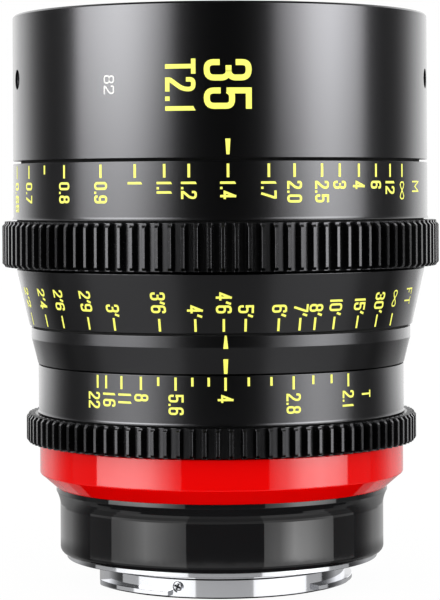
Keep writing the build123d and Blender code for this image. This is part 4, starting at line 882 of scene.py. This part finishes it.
baffleScrewLook = {
    "headMm": 0.95, "headFootMm": 0.95, "headDeepMm": 1.5, "edgeMm": 0.12, "shankMm": 0.55, "longMm": 2.9,
    "recess": "cross", "recessMm": 0.76, "slotMm": 0.38, "recessDeepMm": 1.3, "spin": 45,
    "sunkMm": 0.22, "floorMm": (0.25, 0.45), "floorRadiusMm": 0.8, "floorSides": 24,
}
mountScrewLook = {
    "headMm": 1.85, "headFootMm": 1.0, "headDeepMm": 0.85, "edgeMm": 0.06, "shankMm": 1.0, "longMm": 6.5,
    "recess": "cross", "recessMm": 1.05, "slotMm": 0.42, "recessDeepMm": 0.6, "spin": 20, "sunkMm": 0.1,
}
frontScrewLook = {
    "headMm": 1.95, "headFootMm": 1.95, "headDeepMm": 1.6, "edgeMm": 0.15, "shankMm": 1.95, "longMm": 3.4,
    "recess": "hex", "recessMm": 1.15, "recessDeepMm": 1.1, "spin": 10, "sunkMm": 0.6,
}
s, look = mountSizes, baffleScrewLook
baffleHeads = s["neckMm"] - look["sunkMm"]
placeScrews(
    "baffleScrews", look, radialPlaces(s["baffleScrewAngles"], baffleHeads, baffleRise),
    bareSteel, "steel", "baffle_screws",
)

# a matt black disc at the bottom of each small cross recess is painted shade, so the recesses read black
work = bmesh.new()
over, under = (baffleHeads - depth for depth in look["floorMm"])
for a in s["baffleScrewAngles"]:
    floor = barAt("recessFloor", look["floorRadiusMm"], a, (under, baffleRise), (over, baffleRise), look["floorSides"])
    work.from_mesh(floor.data)
    bpy.data.objects.remove(floor)
dress(meshPiece("baffleScrewRecesses", work), "barrel", lightTrapAndShade, "matte_black")
mountHeads = s["datumRiseMm"] + mountScrewLook["sunkMm"]
placeScrews("mountScrews", mountScrewLook, [
    (outwardPoint(a, mountRing, mountHeads), (0, 0, -1)) for a in mountScrewAngles
], bareSteel, "steel", "mount_screws")
placeScrews("frontBarrelScrews", frontScrewLook, radialPlaces(
    frontSizes["screwAngles"], frontRadius - frontScrewLook["sunkMm"], screwHeight,
), bareSteel, "dark_steel", "front_barrel_screws")
print("screws made")


# ---- engraved marks
# digits as an engraver's single strokes, in a box 1 high: (x, y, corner radius) along each stroke
glyphs = {
    "0": (0.6, [("closed", [(0, 0, .3), (.6, 0, .3), (.6, 1, .3), (0, 1, .3)])]),
    "1": (0.06, [("tip", [(0.03, 0, 0), (0.03, 1, 0)])]),
    "2": (0.6, [("open", [(0, .72, 0), (0, 1, .28), (.6, 1, .28), (.6, .6, .3), (0, .1, .1), (0, 0, 0), (.6, 0, 0)])]),
    "3": (0.6, [("open", [(0, .69, 0), (0, 1, .27), (.6, 1, .27), (.6, .62, .14), (.46, .52, .08), (.12, .52, 0)]),
                ("open", [(.3, .52, 0), (.46, .52, .08), (.6, .42, .14), (.6, 0, .27), (0, 0, .27), (0, .31, 0)])]),
    "4": (0.62, [("open", [(.44, 1, 0), (0, .25, 0), (.62, .25, 0)]), ("open", [(.44, 1, 0), (.44, 0, 0)])]),
    "5": (0.6, [("open", [(.6, 1, 0), (0, 1, 0), (0, .47, 0)]),
                ("open", [(0, .5, 0), (.13, .6, .1), (.6, .6, .28), (.6, 0, .28), (0, 0, .28), (0, .33, 0)])]),
    "6": (0.6, [("closed", [(0, 0, .28), (.6, 0, .28), (.6, .58, .28), (0, .58, .28)]),
                ("open", [(0, .3, 0), (0, 1, .3), (.6, 1, .3), (.6, .78, 0)])]),
    "7": (0.6, [("open", [(0, 1, 0), (.6, 1, 0), (.6, .88, 0), (.2, 0, 0)])]),
    "8": (0.6, [("closed", [(0, 0, .27), (.6, 0, .27), (.6, .54, .27), (0, .54, .27)]),
                ("closed", [(.03, .54, .23), (.57, .54, .23), (.57, 1, .23), (.03, 1, .23)])]),
    "9": (0.6, [("closed", [(0, .42, .28), (.6, .42, .28), (.6, 1, .28), (0, 1, .28)]),
                ("open", [(.6, .7, 0), (.6, 0, .3), (0, 0, .3), (0, .22, 0)])]),
    ".": (0.0, [("dot", [])]),
    "'": (0.1, [("open", [(.02, .66, 0), (.2, 1.02, 0)])]),
    "M": (0.7, [("open", [(0, 0, 0), (0, 1, 0), (.35, .35, 0), (.7, 1, 0), (.7, 0, 0)])]),
    "F": (0.5, [("open", [(0, 0, 0), (0, 1, 0), (.5, 1, 0)]), ("open", [(0, .5, 0), (.42, .5, 0)])]),
    "T": (0.66, [("open", [(0, 1, 0), (.66, 1, 0)]), ("open", [(.33, 1, 0), (.33, 0, 0)])]),
    "o": (1.3, [("closed", [(.65 + .62 * math.cos(a / 16 * math.tau), .5 + .3 * math.sin(2 * a / 16 * math.tau), 0)
                            for a in range(16)])]),
}

engraving = {
    "proudMm": 0.02, "sunkMm": 0.1,  # how far the wiped enamel stands over the metal and goes under it
    "runMm": 0.4,  # longest straight piece of a stroke, so that it follows the curve of the barrel
    "cornerSize": 1.4,  # corner radii are shares of the height, or of this many widths where that is less
    "cornerShare": 0.5, "cornerSteps": 5,
    "dotHigh": 1.05, "tipSlant": 1.1,
    "mitreLeast": 0.3, "mitreMost": 1.6,
}


def strokePath(kind, points, wide, tall, stroke, width):
    # the stroke's centre line in mm, its corners rounded; ends on the box's edge reach the outer line
    half = stroke / 2
    if kind == "dot":
        return [Vector((0, -half)), Vector((0, half * engraving["dotHigh"]))]
    size = min(tall, wide * engraving["cornerSize"])
    placed = [(Vector((x * wide, y * tall)), r * size) for x, y, r in points]
    count = len(placed)
    path = []
    for i, (corner, radius) in enumerate(placed):
        if radius == 0 or (kind != "closed" and i in (0, count - 1)):
            path.append(corner)
        else:
            path += cornerCurve(
                corner, placed[i - 1][0], placed[(i + 1) % count][0], radius,
                engraving["cornerShare"], engraving["cornerSteps"],
            )[0]
    path = [p for i, p in enumerate(path) if (p - path[i - 1]).length > 1e-3]
    if kind != "closed":
        for end, beside, (x, y, r) in ((0, 1, points[0]), (-1, -2, points[-1])):
            along = (path[end] - path[beside]).normalized()
            if (y in (0, 1) and abs(along.y) > 0.5) or (x in (0, width) and abs(along.x) > 0.9):
                path[end] = path[end] + along * half
    return path


def finePath(path, closed):
    fine = []
    ends = path[1:] + ([path[0]] if closed else [])
    for here, following in zip(path, ends):
        parts = max(1, math.ceil((following - here).length / engraving["runMm"]))
        fine += [here.lerp(following, k / parts) for k in range(parts)]
    return fine if closed else fine + [path[-1]]


def strokeFaces(work, path, closed, half, toSurface, tip):
    # a ribbon along the path with mitred corners, as a thin closed slab on the surface
    count = len(path)
    sides = []
    for i, here in enumerate(path):
        before = path[i - 1] if i or closed else None
        after = path[(i + 1) % count] if i < count - 1 or closed else None
        inDir = (here - before).normalized() if before is not None else None
        outDir = (after - here).normalized() if after is not None else None
        inDir, outDir = inDir or outDir, outDir or inDir
        along = inDir + outDir
        along = along.normalized() if along.length > 1e-6 else outDir
        across = Vector((-along.y, along.x))
        lean = max(across.dot(Vector((-outDir.y, outDir.x))), engraving["mitreLeast"])
        stretch = min(1 / lean, engraving["mitreMost"])
        sides.append([here + across * half * stretch, here - across * half * stretch])
    if tip:  # the slanted top of a figure one
        sides[-1][0] -= (path[-1] - path[-2]).normalized() * half * engraving["tipSlant"]
    rows = [
        [work.verts.new(toSurface(p, lift)) for p, lift in ((a, 1), (b, 1), (b, 0), (a, 0))]
        for a, b in sides
    ]
    joinRows(work, rows, closed)


def liftBy(lift):  # mm from the metal to the enamel's top or to its underside
    return engraving["proudMm"] if lift else -engraving["sunkMm"]


def addWord(work, word, look, surface):
    # word reads down the barrel with its top to the right; surface(height) gives the radius in mm
    size, stroke = look["heightMm"], look["strokeMm"]
    wide = size * look["widen"]
    gap = look["gapMm"] + stroke
    starts = [0.0]
    for here, following in zip(word, word[1:]):
        more = look["loose"].get(here, (0, 0))[1] + look["loose"].get(following, (0, 0))[0]
        starts.append(starts[-1] + glyphs[here][0] * wide + gap + more)
    if look["anchor"] == "start":
        top = look["startMm"] - stroke / 2
    else:
        last = -2 if word[-1] == "'" else -1
        top = look["startMm"] + starts[last] + glyphs[word[last]][0] * wide + stroke / 2
    for character, along in zip(word, starts):
        for kind, points in glyphs[character][1]:
            path = strokePath(kind, points, wide, size - stroke, stroke, glyphs[character][0])

            def toSurface(point, lift, along=along):
                height = top - along - point.x
                side = point.y - (size - stroke) / 2
                degrees = look["degrees"] + seenFrom + math.degrees(side / surface(height))
                return outwardPoint(degrees, surface(height) + liftBy(lift), height)

            closed = kind == "closed"
            strokeFaces(work, finePath(path, closed), closed, stroke / 2, toSurface, kind == "tip")


def finishMarks(name, work, body, paint):
    bmesh.ops.recalc_face_normals(work, faces=work.faces)
    dress(meshPiece(name, work), body, paint, "matte_black")


def cylinder(radius):  # the surface for marks on a plain cylinder
    return lambda height: radius


def onTaper(height):
    share = (height - focusLow) / focusSizes["taperRiseMm"]
    return focusSizes["footMm"] + (focusSizes["taperTopMm"] - focusSizes["footMm"]) * share


def onCollar(height):
    share = min((height - collarLow) / (collarHigh - collarSizes["bandLengthMm"] - collarLow), 1)
    return collarSizes["footMm"] + (collarSizes["bandMm"] - collarSizes["footMm"]) * share


seenFrom = viewpoint["aroundDegrees"]  # mark places are measured from the camera's side
metreScale = {
    "words": {"0.65": -73.91, "0.7": -62.94, "0.8": -45.29, "0.9": -32.53, "1": -22.4, "1.1": -14.4, "1.2": -8.0,
              "1.4": 1.99, "1.7": 12.47, "2.0": 19.34, "2.5": 27.1, "3": 32.47, "4": 38.81, "6": 45.13, "12": 51.13},
    "farMark": 57.08, "shortTicks": (-53.97,),
    "tickTopMm": 84.97, "longMm": 2.58, "shortMm": 1.75, "tickWidthMm": 0.5,
    "heightMm": 3.02, "strokeMm": 0.45, "gapMm": 0.29, "startMm": 81.65, "anchor": "start", "widen": 0.6,
    "loose": {"1": (0, 0.2)},  # extra room before and after a figure
}
feetScale = {
    "words": {"2'2": -72.95, "2'4": -60.35, "2'6": -51.15, "2'9": -40.05, "3'": -31.0, "3'6": -17.11, "4'": -7.01,
              "4'6": 0.78, "5'": 6.77, "6'": 16.04, "7'": 22.31, "8'": 26.89, "10'": 33.14, "15'": 41.66, "30'": 49.83},
    "farMark": 57.83, "shortTicks": (),
    "tickTopMm": 55.6, "longMm": 2.5, "tickWidthMm": 0.46,
    "heightMm": 3.02, "strokeMm": 0.43, "gapMm": 0.23, "startMm": 56.66, "anchor": "end", "widen": 0.6,
    "loose": {"'": (-0.12, 0)},
}
stopScale = {
    "words": {"22": -41.12, "16": -35.29, "11": -29.67, "8": -24.15, "5.6": -13.34, "4": 1.25,
              "2.8": 21.68, "2.1": 41.13},
    "longTicks": (-39.71, -36.39, -30.82, -24.25, -13.44, 1.25, 21.68, 41.13),
    "shortTicks": (-18.75, -8.44, -3.65, 8.03, 14.81, 28.15, 34.6),
    "tickTopMm": 44.28, "longMm": 2.52, "shortMm": 1.68, "tickWidthMm": 0.46,
    "heightMm": 3.0, "strokeMm": 0.41, "gapMm": 0.27, "startMm": 40.98, "anchor": "start", "widen": 0.58,
    "loose": {"1": (0.25, 0.45)},
}
for scale in (metreScale, feetScale):  # a long tick at each figure and at infinity
    scale["longTicks"] = [*scale["words"].values(), scale["farMark"]]

# ticks: a small plate at each point, turned to face outwards and leaned to the surface
tickTree, groupIn = startTree("ticksOnRing", [
    ("Width", "NodeSocketFloat", 0.0005),
    ("Thickness", "NodeSocketFloat", 0.0001),
    ("Lean", "NodeSocketFloat", 0.0),
])
size = addNode(tickTree, "ShaderNodeCombineXYZ", inputs={
    "X": groupIn.outputs["Thickness"], "Y": groupIn.outputs["Width"], "Z": 1.0,
})
plate = addNode(tickTree, "GeometryNodeMeshCube", inputs={"Size": size.outputs[0]})
position = addNode(tickTree, "GeometryNodeInputPosition")
flat = addNode(tickTree, "ShaderNodeVectorMath", {"operation": "MULTIPLY"}, {0: position.outputs[0], 1: (1, 1, 0)})
aim = addNode(tickTree, "FunctionNodeAlignRotationToVector", {"axis": "X", "pivot_axis": "Z"}, {
    "Vector": flat.outputs[0],
})
leanBy = addNode(tickTree, "ShaderNodeCombineXYZ", inputs={"Y": groupIn.outputs["Lean"]})
leanTurn = addNode(tickTree, "FunctionNodeEulerToRotation", inputs={0: leanBy.outputs[0]})
leaned = addNode(tickTree, "FunctionNodeRotateRotation", {"rotation_space": "LOCAL"}, {
    0: aim.outputs[0], 1: leanTurn.outputs[0],
})
tickLength = addNode(tickTree, "GeometryNodeInputNamedAttribute", {"data_type": "FLOAT"}, {"Name": "tickLength"})
stretch = addNode(tickTree, "ShaderNodeCombineXYZ", inputs={"X": 1.0, "Y": 1.0, "Z": tickLength.outputs[0]})
ticks = addNode(tickTree, "GeometryNodeInstanceOnPoints", inputs={
    "Points": groupIn.outputs["Geometry"], "Instance": plate.outputs["Mesh"],
    "Rotation": leaned.outputs[0], "Scale": stretch.outputs[0],
})
endTree(tickTree, groupIn, ticks)
tickThicknessMm = 0.1


def addTicks(name, scale, surface, body, lean=0.0):
    places, lengths = [], []
    for size in ("long", "short"):
        for degrees in scale[size + "Ticks"]:
            length = scale[size + "Mm"]
            middle = scale["tickTopMm"] - length / 2
            radius = surface(middle) + engraving["proudMm"] - tickThicknessMm / 2
            places.append(outwardPoint(degrees + seenFrom, radius, middle))
            lengths.append(length * mm)
    piece = emptyPiece(name, places)
    held = piece.data.attributes.new("tickLength", "FLOAT", "POINT")
    held.data.foreach_set("value", lengths)
    runTree(piece, tickTree, {
        "Width": scale["tickWidthMm"] * mm, "Thickness": tickThicknessMm * mm, "Lean": lean, "Finish": yellowEnamel,
    })
    dress(piece, body, yellowEnamel, "matte_black")


def addScale(name, scale, surface, body, extra):
    # extra holds the words with a look of their own, as (word, degrees, what differs)
    work = bmesh.new()
    for word, degrees, changes in [(w, d, {}) for w, d in scale["words"].items()] + extra:
        addWord(work, word, {**scale, **changes, "degrees": degrees}, surface)
    finishMarks(name, work, body, yellowEnamel)


onFocusBody, onIrisBody = cylinder(focusSizes["bodyMm"]), cylinder(irisSizes["bodyMm"])
taperLean = math.atan2(focusSizes["taperTopMm"] - focusSizes["footMm"], focusSizes["taperRiseMm"])
addTicks("metreTicks", metreScale, onFocusBody, "focus")
addScale("metreFigures", metreScale, onFocusBody, "focus", [
    ("o", metreScale["farMark"], {"strokeMm": 0.27, "heightMm": 2.7, "widen": 1.0}),
    ("M", 65.87, {"strokeMm": 0.3, "heightMm": 3.7, "widen": 0.74}),
])
addTicks("feetTicks", feetScale, onTaper, "focus", taperLean)
addScale("feetFigures", feetScale, onTaper, "focus", [
    ("o", 57.44, {"strokeMm": 0.27, "heightMm": 2.5, "widen": 1.0, "startMm": 56.75}),
    ("FT", 66.68, {"strokeMm": 0.3, "heightMm": 3.2, "startMm": 57.1, "widen": 0.58, "gapMm": 0.5}),
])
addTicks("stopTicks", stopScale, onIrisBody, "iris_ring")
addScale("stopFigures", stopScale, onIrisBody, "iris_ring", [
    ("T", 49.1, {"strokeMm": 0.36, "startMm": 40.7, "heightMm": 2.7}),
])


def addWedge(work, degrees, low, high, lowWidth, highWidth, surface):
    rows = []
    steps = 24
    for k in range(steps + 1):
        height = low + (high - low) * k / steps
        half = (lowWidth + (highWidth - lowWidth) * k / steps) / 2
        row = []
        for side, lift in ((-1, 1), (1, 1), (1, 0), (-1, 0)):
            radius = surface(height) + liftBy(lift)
            row.append(work.verts.new(outwardPoint(degrees + math.degrees(side * half / radius), radius, height)))
        rows.append(row)
    joinRows(work, rows)


# fixed index marks and the large figures on the front barrel
onFrontBarrel = cylinder(frontRadius)
fixedMarks = {
    # wedges: degrees, foot and top in mm, width there in mm, surface
    "wedges": (
        (1.99, 86.7, 89.68, 0.58, 0.98, onFrontBarrel),
        (1.31, 49.85, 52.38, 0.95, 0.38, onCollar),
        (1.31, 45.0, 47.85, 0.65, 0.95, onCollar),
    ),
    "focal": {
        "heightMm": 9.05, "strokeMm": 1.13, "gapMm": 1.31, "startMm": 104.62, "anchor": "start", "loose": {},
        "degrees": 2.04, "widen": 0.533,
    },
    "stop": {
        "heightMm": 5.85, "strokeMm": 0.85, "gapMm": 0.64, "startMm": 104.78, "anchor": "start",
        "loose": {".": (0.28, 0.27)}, "degrees": -10.1, "widen": 0.52,
    },
    "filter": {
        "heightMm": 2.3, "strokeMm": 0.26, "gapMm": 0.35, "startMm": 102.0, "anchor": "start", "loose": {},
        "degrees": -29.82, "widen": 1.0,
    },
}
marks = bmesh.new()
for degrees, *wedge in fixedMarks["wedges"]:
    addWedge(marks, degrees + seenFrom, *wedge)
addWord(marks, "35", fixedMarks["focal"], onFrontBarrel)
addWord(marks, "T2.1", fixedMarks["stop"], onFrontBarrel)
finishMarks("fixedMarks", marks, "barrel", yellowEnamel)
marks = bmesh.new()
addWord(marks, "82", fixedMarks["filter"], onFrontBarrel)
finishMarks("filterFigure", marks, "barrel", whiteEnamel)
print("marks made")


# ---- studio: white surround, two tall softboxes, darker cards where the room is dark
studio = {
    "floorHalf": 4.0, "floorDropMm": 0.05, "floorGlow": 0.97, "ambient": 1.3, "cardRadius": 0.9,
    "cardStep": 6,  # degrees between the points of a card
    # glow across a softbox: degrees from the camera's side to the right, brightness low, halfway and high up
    "leftBox": ((-82.5, 0.9, 1.1, 1.2), (-82, 1.1, 2.1, 2.2), (-76, 1.3, 2.4, 2.6), (-64, 2.2, 2.95, 3.3),
                (-54, 3.6, 3.1, 3.65), (-45, 2.75, 2.6, 3.3), (-36, 1.8, 1.3, 2.3), (-28, 1.2, 0.45, 1.2),
                (-24.5, 1.0, 0.3, 0.7)),
    "rightBox": ((28.8, 1.1, 0.35, 0.7), (40, 1.7, 1.25, 1.9), (51, 4.5, 3.3, 3.4), (62, 3.6, 4.0, 3.9),
                 (75, 1.9, 3.0, 2.5), (83, 1.2, 1.9, 1.6), (83.3, 1.0, 1.0, 1.2)),
    # glow behind the lens on the right; the left card mirrors it
    "rim": ((105, 0.15), (112, 0.3), (117, 0.55), (122, 0.9), (127, 1.3), (132, 1.7), (150, 1.7), (170, 1.3)),
    # up a card: height in m, share of the brightness, and 0 to 2 for low, halfway or high up
    "leftRise": ((-0.1275, 0.93, 0), (-0.117, 0.93, 0), (-0.1, 1.0, 0), (-0.092, 1.8, 1), (-0.0766, 1.55, 1),
                 (-0.068, 1.3, 1), (-0.064, 1.2, 1), (-0.06, 0.65, 1), (-0.0416, 0.5, 1), (0.0, 0.74, 1),
                 (0.056, 1.2, 1), (0.103, 1.2, 1), (0.167, 3.0, 2), (0.3, 3.0, 2), (0.75, 1.5, 2)),
    "rightRise": ((-0.1275, 1.3, 0), (-0.117, 1.2, 0), (-0.1, 1.0, 0), (-0.092, 1.25, 1), (-0.0766, 1.25, 1),
                  (-0.068, 1.35, 1), (-0.064, 1.3, 1), (-0.06, 0.8, 1), (-0.0416, 0.6, 1), (0.0, 0.97, 1),
                  (0.056, 1.45, 1), (0.103, 1.05, 1), (0.167, 3.0, 2), (0.3, 3.0, 2), (0.75, 1.5, 2)),
    "rimRise": ((-0.5, 0.3, 0), (-0.125, 0.3, 0), (-0.12, 0.5, 0), (-0.058, 0.45, 0), (-0.042, 1.0, 0),
                (0.75, 1.0, 0)),
    "surround": ((-106, 0.15), (-60, 0.12), (-20, 0.015), (25, 0.015), (60, 0.12), (106, 0.15)),
    "surroundRise": ((-1.5, 1, 0), (1.5, 1, 0)), "surroundRadius": 1.25,
    # table top in front of the lens, with the softboxes mirrored in it
    "table": ((-170, 0.5), (-83, 0.6), (-82.5, 1.6), (-24.5, 1.6), (-24, 0.62), (28.3, 0.62), (28.8, 1.6),
              (83.3, 1.6), (83.8, 0.6), (170, 0.5)),
    "tableRise": ((-0.65, 0.35, 0), (-0.48, 0.5, 0), (-0.42, 0.3, 0), (-0.2, 0.3, 0), (-0.16, 1.0, 0),
                  (-0.1293, 1.0, 0)),
    "tableRadius": 0.91,
    # ceiling that darkens towards its middle, for the front glass to mirror
    "hood": ((-180, 1.0), (-120, 1.5), (-60, 1.5), (-30, 0.2), (0, 0), (30, 0.2), (60, 1.5), (120, 1.5), (180, 1.0)),
    "hoodRise": ((0.76, 1.0, 0), (0.98, 0.12, 0), (1.2, 0.02, 0)), "hoodMouth": 0.05,
    # black disc far under the floor, for what mirrors the view down
    "pit": ((0, 0), (180, 0), (360, 0)), "pitRise": ((-0.65, 0, 0), (-0.65, 0, 0)),
    "pitRadius": 1.4, "pitMiddle": 0.001,
}
cardGlow = bpy.data.materials.new("studioCards")
cardGlow.use_nodes = True
cardGlow.node_tree.nodes.clear()
level = addNode(cardGlow.node_tree, "ShaderNodeAttribute", {"attribute_name": "glow"})
glow = addNode(cardGlow.node_tree, "ShaderNodeEmission", inputs={
    "Color": (1, 1, 1, 1), "Strength": level.outputs["Fac"],
})
addNode(cardGlow.node_tree, "ShaderNodeOutputMaterial", inputs={"Surface": glow.outputs[0]})


def addCard(name, verts, faces, glows):
    # emitting card that shows only in mirror-like rays; the surround gives the diffuse light
    mesh = bpy.data.meshes.new(name)
    mesh.from_pydata(verts, [], faces)
    mesh.materials.append(cardGlow)
    mesh.attributes.new("glow", "FLOAT", "POINT").data.foreach_set("value", glows)
    card = link(bpy.data.objects.new(name, mesh))
    card.visible_camera = card.visible_transmission = False
    card.visible_diffuse = card.visible_shadow = False


def curvedCard(name, across, rise, radius, topRadius=None):
    # card bent round the lens; its glow is the brightness across times the share up
    fine = []
    for here, following in zip(across, across[1:]):
        parts = max(1, math.ceil((following[0] - here[0]) / studio["cardStep"]))
        fine += [[a + (b - a) * k / parts for a, b in zip(here, following)] for k in range(parts)]
    fine.append(across[-1])
    verts, glows = [], []
    for j, (height, share, level) in enumerate(rise):
        reach = radius if topRadius is None else radius + (topRadius - radius) * j / (len(rise) - 1)
        for place in fine:
            turn = indexAngle + math.radians(seenFrom + place[0])
            verts.append((reach * math.cos(turn), reach * math.sin(turn), height))
            glows.append(place[1 + level] * share)
    count = len(fine)
    faces = [(j * count + k, (j + 1) * count + k, (j + 1) * count + k + 1, j * count + k + 1)
             for j in range(len(rise) - 1) for k in range(count - 1)]
    addCard(name, verts, faces, glows)


s = studio
for side in ("left", "right"):
    curvedCard(side + "Box", s[side + "Box"], s[side + "Rise"], s["cardRadius"])
curvedCard("leftRim", [(-degrees, glow) for degrees, glow in reversed(s["rim"])], s["rimRise"], s["cardRadius"])
curvedCard("rightRim", s["rim"], s["rimRise"], s["cardRadius"])
curvedCard("darkSurround", s["surround"], s["surroundRise"], s["surroundRadius"])
curvedCard("tableMirror", s["table"], s["tableRise"], s["tableRadius"])
curvedCard("hood", s["hood"], s["hoodRise"], s["cardRadius"], topRadius=s["hoodMouth"])
curvedCard("pit", s["pit"], s["pitRise"], s["pitRadius"], topRadius=s["pitMiddle"])

floorMesh = bpy.data.meshes.new("studioFloor")
half = s["floorHalf"]
floorMesh.from_pydata([(-half, -half, 0), (half, -half, 0), (half, half, 0), (-half, half, 0)], [], [(0, 1, 2, 3)])
studioFloor = link(bpy.data.objects.new("studioFloor", floorMesh))
studioFloor.location.z = -s["floorDropMm"] * mm
paper = bpy.data.materials.new("whitePaper")
paper.use_nodes = True
tree = paper.node_tree
tree.nodes.clear()
fibre = addNode(tree, "ShaderNodeBsdfDiffuse", inputs={"Color": fromHex("F4F4F4")})
white = addNode(tree, "ShaderNodeEmission", inputs={"Color": (1, 1, 1, 1), "Strength": 1.0})
rays = addNode(tree, "ShaderNodeLightPath")
share = addNode(tree, "ShaderNodeMath", {"operation": "MULTIPLY"}, {
    0: rays.outputs["Is Camera Ray"], 1: s["floorGlow"],
})
mixed = addNode(tree, "ShaderNodeMixShader", inputs={0: share.outputs[0], 1: fibre.outputs[0], 2: white.outputs[0]})
addNode(tree, "ShaderNodeOutputMaterial", inputs={"Surface": mixed.outputs[0]})
floorMesh.materials.append(paper)
studioFloor.visible_glossy = False

world = bpy.data.worlds.new("whiteSurround")
bpy.context.scene.world = world
world.use_nodes = True
tree = world.node_tree
tree.nodes.clear()
rays = addNode(tree, "ShaderNodeLightPath")
seen = rays.outputs["Is Camera Ray"]
for kind in ("Is Glossy Ray", "Is Transmission Ray"):  # white backdrop for the camera, mirrors and glass
    seen = addNode(tree, "ShaderNodeMath", {"operation": "MAXIMUM"}, {0: seen, 1: rays.outputs[kind]}).outputs[0]
level = addNode(tree, "ShaderNodeMapRange", inputs={"Value": seen, "To Min": s["ambient"], "To Max": 1.0})
air = addNode(tree, "ShaderNodeBackground", inputs={"Color": (1, 1, 1, 1), "Strength": level.outputs[0]})
addNode(tree, "ShaderNodeOutputWorld", inputs={"Surface": air.outputs[0]})
print("studio made")
